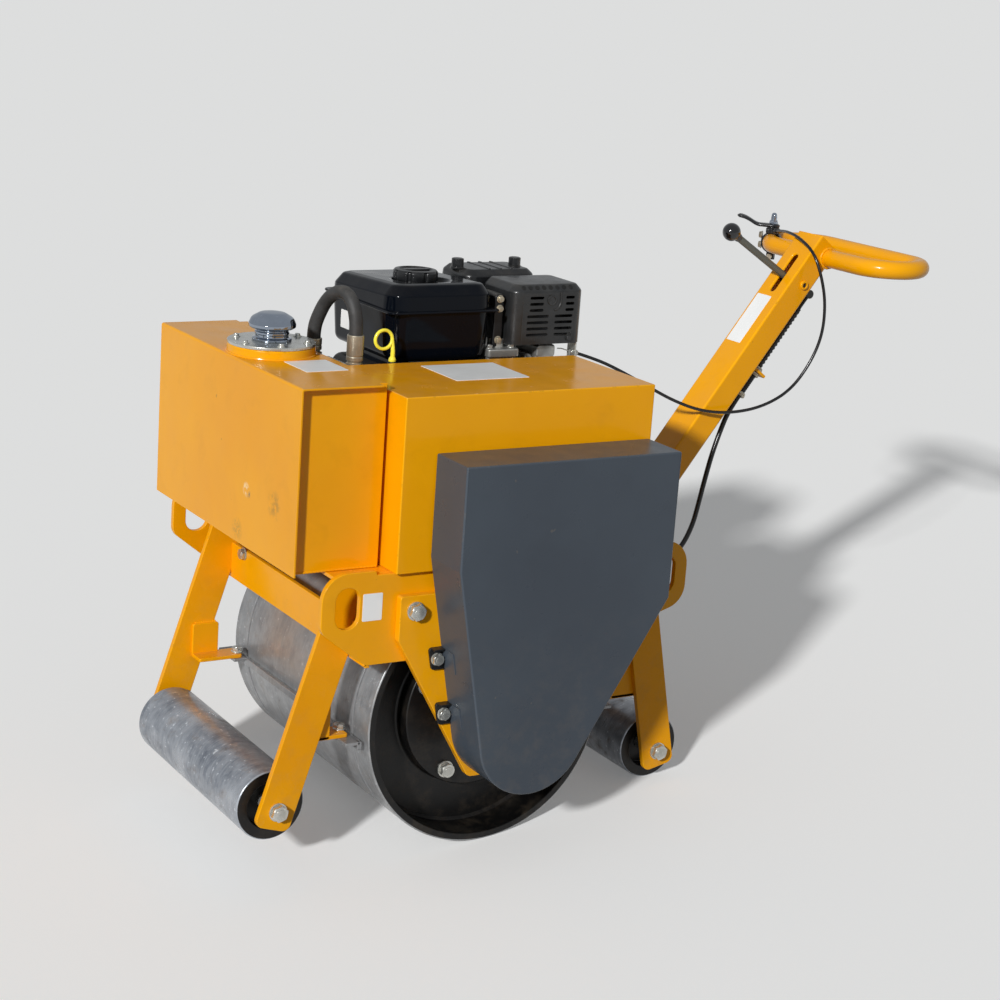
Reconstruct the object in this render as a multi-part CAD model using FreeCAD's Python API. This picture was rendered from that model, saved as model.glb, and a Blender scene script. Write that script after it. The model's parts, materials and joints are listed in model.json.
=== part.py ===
import FreeCAD, Part
import os
from math import acos, asin, atan2, cos, degrees, hypot, pi, radians, sin, tan

V = FreeCAD.Vector

# A walk-behind vibrating road roller. Every size is in millimetres.
# It is drawn standing level: +X forward, +Y to its left, +Z up, the drum's axis above the origin.
# The last section tips it back until the rear roller touches the floor, as it parks.

# Drum
drum_radius = 212.5
drum_width = 500.0
drum_wall = 12.0
drum_recess = 62.0
drum_disc_thick = 10.0
drum_hub_radius = 128.0
drum_hub_rise = 28.0
drum_hub_bolts = 8
drum_hub_bolt_circle = 108.0
stub_radius = 30.0
running_gap = 0.05

# Small rollers that carry the tipped machine
roller_radius = 57.0
roller_length = 400.0
roller_wall = 9.0
roller_recess = 24.0
roller_rim_bore = 38.0
roller_disc_thick = 10.0
roller_axle_radius = 12.5
front_axle_x = 350.0
rear_axle_x = -360.0
roller_axle_z = 94.0

# Flat-bar arms of the small rollers
arm_width = 60.0
arm_thick = 10.0
arm_outer_y = 227.0
front_arm_angle = 17.5
rear_arm_angle = 12.1
bolt_radius = 8.0
bolt_clear = 0.5
bolt_head_flats = 24.0
bolt_head_height = 10.0
washer_radius = 15.0
washer_thick = 3.0

# Side plates, with a lifting eye at each end
side_outer_y = 288.0
side_thick = 10.0
frame_top_z = 480.0
side_low_z = 338.0
front_eye_x = 280.0
rear_eye_x = -297.0
eye_z = 431.0
eye_slot_width = 40.0
eye_slot_height = 65.0
eye_rim = 23.0
side_corner_z = 398.0
side_corner_round = 22.0
rear_eye_drop = 9.0

# Cross plates and deck
cross_thick = 8.0
cross_low_z = 330.0
cross_high_z = 391.0
front_cross_x = 240.0
rear_cross_x = -272.0
deck_thick = 6.0
deck_front_x = 300.0
deck_rear_x = -300.0

# Drum support plates, bolted to the outside of the side plates
support_thick = 14.0
support_half_top = 198.0
support_half_low = 60.0
support_low_z = 137.0
support_top_z = 446.0
support_knee_z = 376.0
support_bolt_x = 172.0
support_bolt_z = 422.0
support_corner = 5.0
bearing_radius = 62.0
bearing_length = 52.0

# Oil tank of folded sheet: its front and top plates stand past its side panels
sheet = 3.0
tank_front_x = 360.0
tank_back_x = 213.0
tank_top_z = 764.0
tank_half_width = 265.0
tank_lip = 15.0
tank_notch = 14.0
filler_x = 286.0
filler_radius = 69.0
filler_bore = 40.0
filler_height = 14.0
flange_thick = 5.0
cap_base_radius = 27.0
cap_base_height = 18.0
cap_radius = 37.0
cap_height = 28.0

# Drive housing of folded sheet between tank and engine
housing_front_x = 206.0
housing_rear_x = -238.0
housing_near_y = 298.0
housing_far_y = 60.0
housing_top_z = 751.0

# Belt cover, a shell open towards the machine
cover_back_y = 302.3
cover_near_y = 392.0
cover_sheet = 2.5
cover_front_x = 151.0
cover_rear_x = -232.0
cover_top_z = 665.0
cover_front_knee_z = 505.0
cover_rear_knee_z = 430.0
cover_round_x = 1.0
cover_round_z = 229.0
cover_round_radius = 95.0
lug_reach = 24.0
lug_leg = 42.0
lug_height = 36.0
lug_thick = 5.0
lug_bolt_reach = 13.0
lug_heights = (343.0, 252.0)

# Scrapers: an angle bar bolted to a bracket on each arm
scraper_gap = 6.0
scraper_leg = 28.0
scraper_drop = 38.0
scraper_thick = 5.0
scraper_half_length = 242.0
scraper_z = 196.0
bracket_thick = 6.0
bracket_height = 58.0
bracket_foot = 40.0
scraper_bolt_inset = 12.0
bracket_reach = 25.0

# Handle: a leaning box-section column with a level racetrack ring
column_width = 66.0
column_depth = 48.0
column_wall = 3.0
column_foot_x = -357.6
column_foot_z = 400.0
column_end_ahead = 19.0
column_end_rise = 41.0
ring_tube = 32.0
ring_front_x = -783.0
ring_depth = 126.0
ring_z = 900.0
ring_half_length = 174.0
slot_width = 14.0
slot_span = (127.5, 46.5)
ear_thick = 8.0
ear_gap = 0.3
ear_margin = 24.0
foot_bolt_radius = 8.0
foot_bolt_reach = (30.0, 84.0)

# Direction lever through the column, with its pull rod and cable stop underneath:
# reaches are measured down the column from its upper end, depths from its upper face
lever_pivot_reach = 89.0
lever_pivot_depth = 28.2
lever_pitch = 32.0
lever_up = 158.0
lever_down = 47.0
lever_radius = 6.3
lever_knob_radius = 16.0
lever_pin_radius = 4.0
boss_radius = 8.0
boss_height = 4.0
rod_radius = 5.0
sleeve_radius = 6.0
sleeve_length = 66.0
stop_thick = 5.0
stop_gap = 0.3
stop_height = 34.0
cable_stop_reach = 257.0
cable_depth = 67.0
cable_side = 10.0
cable_lead = 54.0

# Throttle lever clamped to the ring
clamp_angle = 50.0
clamp_width = 15.0
clamp_wall = 3.0
clamp_gap = 0.6
throttle_hub_radius = 13.0
throttle_hub_height = 9.0
throttle_lever_thick = 4.0
throttle_lever_turn = -42.0
throttle_lever_profile = ((-12.0, 0.0), (34.0, 0.0), (49.0, 8.0), (57.0, 11.0), (68.0, 11.0))
throttle_stud_radius = 5.5
throttle_stud_height = 22.0
dipstick_x = 98.0
dipstick_y = 49.0

# Engine with its crankshaft along Y
engine_base_height = 64.0
engine_front_x = 105.0
engine_rear_x = -115.0
engine_near_y = 40.0
engine_far_y = -150.0
base_overhang = 60.0
base_sheet = 5.0
crank_x = -5.0
crank_rise = 106.0
crankcase_height = 184.0
fan_radius = 112.0
fan_depth = 62.0
fuel_front_x = 137.0
fuel_rear_x = -104.0
fuel_near_y = 30.0
fuel_far_y = -150.0
fuel_leg_height = 12.0
fuel_body_height = 84.0
fuel_shoulder_height = 43.0
fuel_crown_height = 13.0
fuel_corner = 42.0
fuel_draft = 5.0
fuel_shoulder_inset = 20.0
fuel_flange = 6.0
fuel_dish_radius = 50.0
fuel_dish_depth = 9.0
fuel_cap_x = 7.0
fuel_cap_y = -60.0
fuel_cap_radius = 37.0
fuel_cap_height = 21.0
fuel_cap_lobes = 8
guard_front_x = -112.0
guard_rear_x = -267.0
guard_near_y = 26.0
guard_far_y = -84.0
guard_rise = 36.0
guard_height = 100.0
guard_shoulder = 11.0
guard_corner = 20.0
guard_sheet = 2.0
guard_rows = 7
guard_slots = ((-184.0, 42.0), (-236.0, 36.0))
guard_slot_low = 14.0
guard_slot_high = 79.0
cleaner_front_x = -118.0
cleaner_rear_x = -262.0
cleaner_near_y = -92.0
cleaner_far_y = -192.0
cleaner_rise = 47.0
cleaner_height = 91.0
knob_radius = 10.5
knob_height = 17.0

# Hydraulic valve block on the housing's far wall, under the hose's two ends
valve_rear_x = 146.0
valve_front_x = 205.0
valve_far_y = -74.0
valve_low_z = 636.0
valve_top_z = 738.0
nut_flats = 25.0
nut_height = 14.0
ferrule_radius = 13.5

# Hoses and cables, with routes chosen by hand
hose_diameter = 22.0
throttle_cable_diameter = 5.5
control_cable_diameter = 9.0
bend_share = 0.45


def box(x, y, z):
    """Block between two corners, given as (low, high) pairs along each axis."""
    return Part.makeBox(x[1] - x[0], y[1] - y[0], z[1] - z[0], V(x[0], y[0], z[0]))


def rod(start, end, radius):
    """Round bar from one point to another."""
    axis = V(*end) - V(*start)
    return Part.makeCylinder(radius, axis.Length, V(*start), axis)


def rod_y(x, z, y_low, y_high, radius):
    return Part.makeCylinder(radius, y_high - y_low, V(x, y_low, z), V(0, 1, 0))


def rod_z(x, y, z_low, z_high, radius):
    return Part.makeCylinder(radius, z_high - z_low, V(x, y, z_low), V(0, 0, 1))


def hex_y(x, z, y_low, y_high, flats):
    """Hexagonal bolt head whose axis runs along Y."""
    corner = flats / 2 / cos(pi / 6)
    ring = [V(x + corner * cos(k * pi / 3), y_low, z + corner * sin(k * pi / 3)) for k in range(7)]
    return Part.Face(Part.makePolygon(ring)).extrude(V(0, y_high - y_low, 0))


def rounded_wire(corners, to_vector):
    """Closed outline from rows of (across, up, corner radius); arcs are tangent to both edges."""
    count = len(corners)
    edges = []
    joints = []
    for k in range(count):
        before = corners[k - 1]
        here = corners[k]
        after = corners[(k + 1) % count]
        radius = here[2]
        one = (before[0] - here[0], before[1] - here[1])
        two = (after[0] - here[0], after[1] - here[1])
        len_one = hypot(*one)
        len_two = hypot(*two)
        if radius == 0:
            joints.append((to_vector(here[0], here[1]), None, to_vector(here[0], here[1])))
            continue
        u = (one[0] / len_one, one[1] / len_one)
        w = (two[0] / len_two, two[1] / len_two)
        half = acos(max(-1.0, min(1.0, u[0] * w[0] + u[1] * w[1]))) / 2
        reach = radius / tan(half)
        middle = (u[0] + w[0], u[1] + w[1])
        length = hypot(*middle)
        depth = radius / sin(half) - radius
        start = to_vector(here[0] + u[0] * reach, here[1] + u[1] * reach)
        bend = to_vector(here[0] + middle[0] / length * depth, here[1] + middle[1] / length * depth)
        end = to_vector(here[0] + w[0] * reach, here[1] + w[1] * reach)
        joints.append((start, bend, end))
    for k in range(count):
        start, bend, end = joints[k]
        following = joints[(k + 1) % count][0]
        if bend is not None:
            edges.append(Part.Arc(start, bend, end).toShape())
        if (following - end).Length > 1e-6:
            edges.append(Part.LineSegment(end, following).toShape())
    return Part.Wire(edges)


def plate_y(corners, y_low, y_high):
    """Plate whose outline lies in XZ, rows of (x, z, corner radius), thick along Y."""
    wire = rounded_wire(corners, lambda x, z: V(x, y_low, z))
    return Part.Face(wire).extrude(V(0, y_high - y_low, 0))


def plate_z(corners, z_low, z_high):
    """Plate whose outline lies in XY, rows of (x, y, corner radius), thick along Z."""
    wire = rounded_wire(corners, lambda x, y: V(x, y, z_low))
    return Part.Face(wire).extrude(V(0, 0, z_high - z_low))


def rectangle(a_low, a_high, b_low, b_high, radius):
    return [(a_low, b_low, radius), (a_high, b_low, radius), (a_high, b_high, radius), (a_low, b_high, radius)]


def mirrored(shape):
    """The same piece on the machine's other side."""
    return shape.mirror(V(0, 0, 0), V(0, 1, 0))


def fused(first, *others):
    return first.fuse(list(others)).removeSplitter()


def cord_path(points):
    """Straight runs joined by tangent arcs, each as large as its two runs allow."""
    route = [V(*p) for p in points]
    edges = []
    radii = []
    here = route[0]
    for k in range(1, len(route) - 1):
        back = route[k - 1] - route[k]
        ahead = route[k + 1] - route[k]
        shorter = min(back.Length, ahead.Length)
        turn = pi - back.getAngle(ahead)
        radius = bend_share * shorter / tan(turn / 2)
        radii.append(radius)
        reach = bend_share * shorter
        back.normalize()
        ahead.normalize()
        start = route[k] + back * reach
        end = route[k] + ahead * reach
        middle = back + ahead
        middle.normalize()
        bend = route[k] + middle * (radius / cos(turn / 2) - radius)
        edges.append(Part.LineSegment(here, start).toShape())
        edges.append(Part.Arc(start, bend, end).toShape())
        here = end
    edges.append(Part.LineSegment(here, route[-1]).toShape())
    return Part.Wire(edges), radii


def cord_tube(name, points, diameter):
    """Round cord along a route; prints its length, tightest radii and volume check."""
    path, radii = cord_path(points)
    heading = V(*points[1]) - V(*points[0])
    section = Part.Wire(Part.makeCircle(diameter / 2, V(*points[0]), heading))
    tube = path.makePipeShell([section], True, False)
    share = tube.Volume / (path.Length * pi * diameter ** 2 / 4)
    print(name, "length", round(path.Length, 1), "volume share", round(share, 4))
    print("radii", [round(r) for r in radii])
    return tube


nodes = {}


def add(name, shape):
    nodes[name] = shape


# Drum: a shell and two recessed ends, each with a raised hub
half_drum = drum_width / 2
shell_inner = drum_radius - drum_wall
drum_axis_z = drum_radius
disc_out_y = half_drum - drum_recess
disc_in_y = disc_out_y - drum_disc_thick
hub_out_y = disc_out_y + drum_hub_rise
shell = rod_y(0, drum_axis_z, -half_drum, half_drum, drum_radius)
shell = shell.cut(rod_y(0, drum_axis_z, -half_drum - 1, half_drum + 1, shell_inner))
add("drum_shell", shell)
end = rod_y(0, drum_axis_z, disc_in_y, disc_out_y, shell_inner)
hub = rod_y(0, drum_axis_z, disc_out_y, hub_out_y, drum_hub_radius)
end = fused(end, hub)
end = end.cut(rod_y(0, drum_axis_z, disc_in_y - 1, hub_out_y + 1, stub_radius + running_gap))
heads = []
for k in range(drum_hub_bolts):
    angle = radians(360 / drum_hub_bolts * (k + 0.5) + 15)
    bolt_x = drum_hub_bolt_circle * cos(angle)
    bolt_z = drum_axis_z + drum_hub_bolt_circle * sin(angle)
    heads.append(hex_y(bolt_x, bolt_z, hub_out_y, hub_out_y + bolt_head_height, bolt_head_flats))
end = fused(end, *heads)
add("drum_end_left", end)
add("drum_end_right", mirrored(end))

# Small rollers and their axles
roller_half = roller_length / 2
arm_inner_y = arm_outer_y - arm_thick


def small_roller(x):
    tube = rod_y(x, roller_axle_z, -roller_half, roller_half, roller_radius)
    tube = tube.cut(rod_y(x, roller_axle_z, -roller_half - 1, roller_half + 1, roller_radius - roller_wall))
    plug_out = roller_half - roller_recess
    plug_in = plug_out - roller_disc_thick
    left = rod_y(x, roller_axle_z, plug_in, plug_out, roller_radius - roller_wall)
    rim = rod_y(x, roller_axle_z, plug_out, roller_half, roller_radius - roller_wall)
    rim = rim.cut(rod_y(x, roller_axle_z, plug_out - 1, roller_half + 1, roller_rim_bore))
    left = fused(left, rim)
    right = mirrored(left)
    bore = rod_y(x, roller_axle_z, -roller_half, roller_half, roller_axle_radius + running_gap)
    return fused(tube, left, right).cut(bore)


def roller_axle(x):
    bar = rod_y(x, roller_axle_z, -arm_inner_y, arm_inner_y, roller_axle_radius)
    bolt = rod_y(x, roller_axle_z, arm_inner_y - 20, arm_outer_y + washer_thick, bolt_radius)
    washer = rod_y(x, roller_axle_z, arm_outer_y, arm_outer_y + washer_thick, washer_radius)
    head_y = arm_outer_y + washer_thick
    head = hex_y(x, roller_axle_z, head_y, head_y + bolt_head_height, bolt_head_flats)
    side = [bolt, washer, head]
    return fused(bar, *side, *[mirrored(piece) for piece in side])


add("front_roller", small_roller(front_axle_x))
add("rear_roller", small_roller(rear_axle_x))
add("front_axle", roller_axle(front_axle_x))
add("rear_axle", roller_axle(rear_axle_x))

# Cross plates between the side plates
side_inner_y = side_outer_y - side_thick
rear_cross_back = rear_cross_x - cross_thick
front_cross = box((front_cross_x - cross_thick, front_cross_x), (-side_inner_y, side_inner_y),
                  (cross_low_z, cross_high_z))
rear_cross = box((rear_cross_back, rear_cross_x), (-side_inner_y, side_inner_y), (cross_low_z, cross_high_z))
add("front_cross_plate", front_cross)
add("rear_cross_plate", rear_cross)

# Deck on top of the frame
deck_low_z = frame_top_z - deck_thick
deck = box((deck_rear_x, deck_front_x), (-side_inner_y, side_inner_y), (deck_low_z, frame_top_z))
add("deck", deck)


def arm(axle_x, lean, cross):
    """Flat-bar arm from a roller's axle up to the deck, notched round its cross plate."""
    reach = deck_low_z - roller_axle_z
    shift = -reach * tan(radians(lean)) if axle_x > 0 else reach * tan(radians(lean))
    slope = arm_width / 2 / cos(radians(lean))
    top_x = axle_x + shift
    direction = V(shift, 0, reach)
    direction.normalize()
    across = V(direction.z, 0, -direction.x)
    tip = V(axle_x, 0, roller_axle_z) - direction * arm_width / 2
    low_one = tip - across * arm_width / 2
    low_two = tip + across * arm_width / 2
    corners = [(low_one.x, low_one.z, arm_width * 0.22), (low_two.x, low_two.z, arm_width * 0.22),
               (top_x + slope, deck_low_z, 0), (top_x - slope, deck_low_z, 0)]
    plate = plate_y(corners, arm_inner_y, arm_outer_y)
    hole = rod_y(axle_x, roller_axle_z, arm_inner_y - 1, arm_outer_y + 1, bolt_radius + bolt_clear)
    side = 1 if axle_x > 0 else -1
    middle_x = axle_x + shift * (scraper_z + bracket_height / 2 - roller_axle_z) / reach
    near_drum = side * (drum_radius + scraper_gap + scraper_leg - bracket_reach)
    low_x, high_x = sorted((near_drum, middle_x))
    span = (low_x, high_x)
    web = box(span, (arm_inner_y - bracket_thick, arm_inner_y), (scraper_z, scraper_z + bracket_height))
    foot = box(span, (arm_inner_y - bracket_foot, arm_inner_y), (scraper_z, scraper_z + bracket_thick))
    return fused(plate.cut(hole).cut(cross), web, foot)


for place, axle_x, lean, cross in (("front", front_axle_x, front_arm_angle, front_cross),
                                   ("rear", rear_axle_x, rear_arm_angle, rear_cross)):
    plate = arm(axle_x, lean, cross)
    add(place + "_arm_left", plate)
    add(place + "_arm_right", mirrored(plate))

# Scrapers: the angle bar's level leg reaches for the drum, under the brackets' feet
for place, side in (("front", 1), ("rear", -1)):
    edge_x = side * (drum_radius + scraper_gap)
    back_x = edge_x + side * scraper_leg
    span_y = (-scraper_half_length, scraper_half_length)
    leg = box(sorted((edge_x, back_x)), span_y, (scraper_z - scraper_thick, scraper_z))
    drop_x = sorted((back_x, back_x - side * scraper_thick))
    drop = box(drop_x, span_y, (scraper_z - scraper_drop, scraper_z))
    bolt_x = back_x - side * scraper_bolt_inset
    top = scraper_z + bracket_thick
    bolts = []
    for turn in (1, -1):
        bolt_y = turn * (arm_inner_y - bracket_foot / 2 - 3)
        bolts.append(rod_z(bolt_x, bolt_y, top, top + washer_thick, 10))
        bolts.append(rod_z(bolt_x, bolt_y, top + washer_thick, top + washer_thick + 7, 8))
        bolts.append(rod_z(bolt_x, bolt_y, scraper_z - 1, top, 5))
    add(place + "_scraper", fused(leg, drop, *bolts))
    scraper_hole = rod_z(bolt_x, arm_inner_y - bracket_foot / 2 - 3, scraper_z - 1, top + 1, 5 + bolt_clear)
    for turn, wing in (("left", lambda t: t), ("right", mirrored)):
        name = place + "_arm_" + turn
        nodes[name] = nodes[name].cut(wing(scraper_hole))

# Side plates with a lifting eye at each end
eye_half = eye_slot_width / 2 + eye_rim
eye_top_z = eye_z + eye_slot_height / 2 + eye_rim
eye_low_z = eye_z - eye_slot_height / 2 - eye_rim
step_x = 12.0
side_corners = [
    (front_eye_x + eye_half, eye_top_z, eye_half), (front_eye_x + eye_half, side_corner_z, side_corner_round),
    (front_eye_x - 18, side_low_z + 12, 0), (front_eye_x - 38, side_low_z, 6),
    (rear_eye_x + 38, side_low_z, 6), (rear_eye_x + 6, eye_low_z - rear_eye_drop, 20),
    (rear_eye_x - eye_half, eye_low_z + 6, eye_half * 0.9), (rear_eye_x - eye_half, eye_top_z, eye_half),
    (rear_eye_x + eye_half + 4, eye_top_z, 5), (rear_eye_x + eye_half + 4, frame_top_z, 0),
    (front_eye_x - eye_half - 4, frame_top_z, 0), (front_eye_x - eye_half - 4, eye_top_z, 5)]
side = plate_y(side_corners, side_inner_y, side_outer_y)
for eye_x in (front_eye_x, rear_eye_x):
    slot = rectangle(eye_x - eye_slot_width / 2, eye_x + eye_slot_width / 2,
                     eye_z - eye_slot_height / 2, eye_z + eye_slot_height / 2, eye_slot_width / 2 - 0.5)
    side = side.cut(plate_y(slot, side_inner_y - 1, side_outer_y + 1))
add("side_plate_left", side)
add("side_plate_right", mirrored(side))

# Drum support plates with their bearing housings and stub shafts
support_outer_y = side_outer_y + support_thick
support_corners = [
    (support_half_top, support_top_z, support_corner), (support_half_top, support_knee_z, 8),
    (support_half_low, support_low_z, 14), (-support_half_low, support_low_z, 14),
    (-support_half_top, support_knee_z, 8), (-support_half_top, support_top_z, support_corner)]
support = plate_y(support_corners, side_outer_y, support_outer_y)
bolt_set = []
for bolt_x in (support_bolt_x, -support_bolt_x):
    head_y = support_outer_y + washer_thick
    bolt_set.append(rod_y(bolt_x, support_bolt_z, support_outer_y, head_y, washer_radius))
    bolt_set.append(hex_y(bolt_x, support_bolt_z, head_y, head_y + bolt_head_height, bolt_head_flats))
support = fused(support, *bolt_set)
bearing_in_y = side_outer_y - bearing_length
bearing = rod_y(0, drum_axis_z, bearing_in_y, side_outer_y, bearing_radius)
stub = rod_y(0, drum_axis_z, disc_in_y - 5, bearing_in_y, stub_radius)
bearing = fused(bearing, stub)
for side_name, turn in (("left", lambda s: s), ("right", mirrored)):
    add("drum_support_" + side_name, turn(fused(support, bearing)))

# Oil tank: a hollow box with its front and top plates standing past the panels
panel_y = tank_half_width - tank_lip
outer = box((tank_back_x, tank_front_x - sheet), (-panel_y, panel_y), (frame_top_z, tank_top_z - sheet))
hollow = box((tank_back_x + sheet, tank_front_x - sheet), (-panel_y + sheet, panel_y - sheet),
             (frame_top_z + sheet, tank_top_z - sheet))
front_sheet = box((tank_front_x - sheet, tank_front_x), (-tank_half_width, tank_half_width),
                  (frame_top_z, tank_top_z))
top_sheet = box((tank_back_x, tank_front_x), (-tank_half_width, tank_half_width),
                (tank_top_z - sheet, tank_top_z))
mouth = rod_z(filler_x, 0, tank_top_z - sheet - 1, tank_top_z + 1, filler_bore)
tank = fused(outer.cut(hollow), front_sheet, top_sheet).cut(mouth)
for low_y, high_y in ((panel_y, tank_half_width + 1), (-tank_half_width - 1, -panel_y)):
    notch = box((tank_back_x - 1, tank_back_x + tank_notch), (low_y, high_y), (frame_top_z, tank_top_z + 1))
    tank = tank.cut(notch)
neck = rod_z(filler_x, 0, tank_top_z, tank_top_z + filler_height, filler_radius)
neck = neck.cut(rod_z(filler_x, 0, tank_top_z - 1, tank_top_z + filler_height + 1, filler_bore))
add("oil_tank", fused(tank, neck))
flange_z = tank_top_z + filler_height
flange = rod_z(filler_x, 0, flange_z, flange_z + flange_thick, filler_radius)
add("filler_flange", flange)
cap_z = flange_z + flange_thick
cap_base = rod_z(filler_x, 0, cap_z, cap_z + cap_base_height, cap_base_radius)
dome_low_z = cap_z + cap_base_height
dome_top_z = dome_low_z + cap_height
dome_round = cap_radius * 1.25
dome = Part.makeSphere(dome_round, V(filler_x, 0, dome_top_z - dome_round))
dome = dome.common(rod_z(filler_x, 0, dome_low_z, dome_top_z, cap_radius))
add("breather_cap", fused(cap_base, dome))

# Drive housing: a folded sheet box, open at the bottom
housing = box((housing_rear_x, housing_front_x), (housing_far_y, housing_near_y),
              (frame_top_z, housing_top_z))
inside = box((housing_rear_x + sheet, housing_front_x - sheet),
             (housing_far_y + sheet, housing_near_y - sheet), (frame_top_z - 1, housing_top_z - sheet))
add("drive_housing", housing.cut(inside))


def cover_outline(inset):
    """Belt cover's outline: upright top part, slanting flanks and a round foot, drawn inset."""
    radius = cover_round_radius - inset
    front = cover_front_x - inset
    rear = cover_rear_x + inset
    top = cover_top_z - inset

    def flank(x, knee_z, sign):
        gap_x = x - cover_round_x
        gap_z = knee_z - cover_round_z
        angle = atan2(gap_z, gap_x) - sign * acos(radius / hypot(gap_x, gap_z))
        return V(cover_round_x + radius * cos(angle), 0, cover_round_z + radius * sin(angle))

    front_touch = flank(front, cover_front_knee_z, 1)
    rear_touch = flank(rear, cover_rear_knee_z, -1)
    bottom = V(cover_round_x, 0, cover_round_z - radius)
    front_knee = V(front, 0, cover_front_knee_z)
    rear_knee = V(rear, 0, cover_rear_knee_z)
    edges = [Part.Arc(front_touch, bottom, rear_touch).toShape()]
    for one, two in ((rear_touch, rear_knee), (rear_knee, V(rear, 0, top)),
                     (V(rear, 0, top), V(front, 0, top)), (V(front, 0, top), front_knee),
                     (front_knee, front_touch)):
        edges.append(Part.LineSegment(one, two).toShape())
    return Part.Face(Part.Wire(edges))


cover = cover_outline(0)
cover.translate(V(0, cover_back_y, 0))
cover = cover.extrude(V(0, cover_near_y - cover_back_y, 0))
hollow = cover_outline(cover_sheet)
hollow.translate(V(0, cover_back_y - 1, 0))
hollow = hollow.extrude(V(0, cover_near_y - cover_back_y - cover_sheet + 1, 0))
cover = cover.cut(hollow)


def flank_x(z, front):
    """Where the cover's slanting flank stands at a height."""
    knee_x = cover_front_x if front else cover_rear_x
    knee_z = cover_front_knee_z if front else cover_rear_knee_z
    sign = 1 if front else -1
    gap_x = knee_x - cover_round_x
    gap_z = knee_z - cover_round_z
    angle = atan2(gap_z, gap_x) - sign * acos(cover_round_radius / hypot(gap_x, gap_z))
    touch_x = cover_round_x + cover_round_radius * cos(angle)
    touch_z = cover_round_z + cover_round_radius * sin(angle)
    return touch_x + (knee_x - touch_x) * (z - touch_z) / (knee_z - touch_z)


lugs = []
for lug_z in lug_heights:
    low_z = lug_z - lug_height / 2
    high_z = lug_z + lug_height / 2
    low_x = flank_x(low_z, True)
    high_x = flank_x(high_z, True)
    rows = [(low_x - lug_thick, low_z, 0), (low_x + lug_reach, low_z, 5), (high_x + lug_reach, high_z, 5),
            (high_x - lug_thick, high_z, 0)]
    lugs.append(plate_y(rows, cover_back_y, cover_back_y + lug_thick))
    rows = [(low_x - 1, low_z, 0), (low_x + cover_sheet, low_z, 0), (high_x + cover_sheet, high_z, 0),
            (high_x - 1, high_z, 0)]
    lugs.append(plate_y(rows, cover_back_y, cover_back_y + lug_leg))
    head_y = cover_back_y + lug_thick
    bolt_x = flank_x(lug_z, True) + lug_bolt_reach
    lugs.append(rod_y(bolt_x, lug_z, head_y, head_y + 2, 10))
    lugs.append(hex_y(bolt_x, lug_z, head_y + 2, head_y + 9, 17))
lugs = [lug.cut(hollow) for lug in lugs]
add("belt_cover", fused(cover, *lugs))

# Handle column from its foot up to the ring, its upper edge line set by its two ends
foot = V(column_foot_x, 0, column_foot_z)
peak = V(ring_front_x + column_end_ahead, 0, ring_z + column_end_rise)
along = peak - foot
along.normalize()
down = V(-along.z, 0, along.x)


def column_bar(low, high, near, far, half, side=0.0):
    """Straight bar along the column between two reaches from its foot and two depths under its face."""
    corners = [(low, near), (high, near), (high, far), (low, far), (low, near)]
    points = [foot + along * reach + down * depth for reach, depth in corners]
    wire = Part.makePolygon([V(p.x, side - half, p.z) for p in points])
    return Part.Face(wire).extrude(V(0, 2 * half, 0))


column_length = (peak - foot).Length
column_half = column_width / 2
column = column_bar(0, column_length, 0, column_depth, column_half)
bore = column_bar(column_wall, column_length - column_wall, column_wall, column_depth - column_wall,
                  column_half - column_wall)
slot_low, slot_high = [column_length - reach for reach in slot_span]
lever_slot = column_bar(slot_low, slot_high, -1, column_depth + 1, slot_width / 2)
column = column.cut(bore).cut(lever_slot)
ring_rear_x = ring_front_x - ring_depth
ring_bend = ring_depth / 2
ring_straight = ring_half_length - ring_bend
ring_mid_x = ring_front_x - ring_bend


def ring_bar(radius):
    bars = [rod_y(x, ring_z, -ring_straight, ring_straight, radius) for x in (ring_front_x, ring_rear_x)]
    ends = []
    for sign in (1, -1):
        whole = Part.makeTorus(ring_bend, radius, V(ring_mid_x, sign * ring_straight, ring_z), V(0, 0, 1))
        reach = ring_half_length + ring_tube
        span = (ring_straight, reach) if sign > 0 else (-reach, -ring_straight)
        half = box((ring_rear_x - ring_tube, ring_front_x + ring_tube), span,
                   (ring_z - ring_tube, ring_z + ring_tube))
        ends.append(whole.common(half))
    return fused(bars[0], bars[1], *ends)


ring = ring_bar(ring_tube / 2)
add("handle_ring", ring)
column = column.cut(ring)
foot_bolts = [foot + along * reach + down * (column_depth / 2) for reach in foot_bolt_reach]
for at in foot_bolts:
    column = column.cut(rod_y(at.x, at.z, -column_half - 1, column_half + 1, foot_bolt_radius + bolt_clear))
lever_turn = radians(lever_pitch)
lever_axis = V(cos(lever_turn), 0, sin(lever_turn))
lever_pivot = peak - along * lever_pivot_reach + down * lever_pivot_depth
pin_hole = rod_y(lever_pivot.x, lever_pivot.z, -column_width, column_width, lever_pin_radius + running_gap)
boss = rod_y(lever_pivot.x, lever_pivot.z, column_half, column_half + boss_height, boss_radius)
stop_place = column_length - cable_stop_reach
stop_plate = column_bar(stop_place - stop_thick / 2, stop_place + stop_thick / 2, column_depth,
                        column_depth + stop_height, column_half * 0.7)
cable_line = foot + along * stop_place + down * cable_depth + V(0, cable_side, 0)
stop_hole = rod(tuple(cable_line - along * 20), tuple(cable_line + along * 20), sleeve_radius + stop_gap)
column = fused(column, boss, mirrored(boss), stop_plate).cut(pin_hole).cut(stop_hole)
add("handle_column", column)
lever_top = lever_pivot + lever_axis * lever_up
lever_low = lever_pivot - lever_axis * lever_down
bar = rod(tuple(lever_low), tuple(lever_top), lever_radius)
pin_half = column_half + boss_height - 1
lever_pin = rod_y(lever_pivot.x, lever_pivot.z, -pin_half, pin_half, lever_pin_radius)
add("direction_lever", fused(bar, lever_pin))
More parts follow.
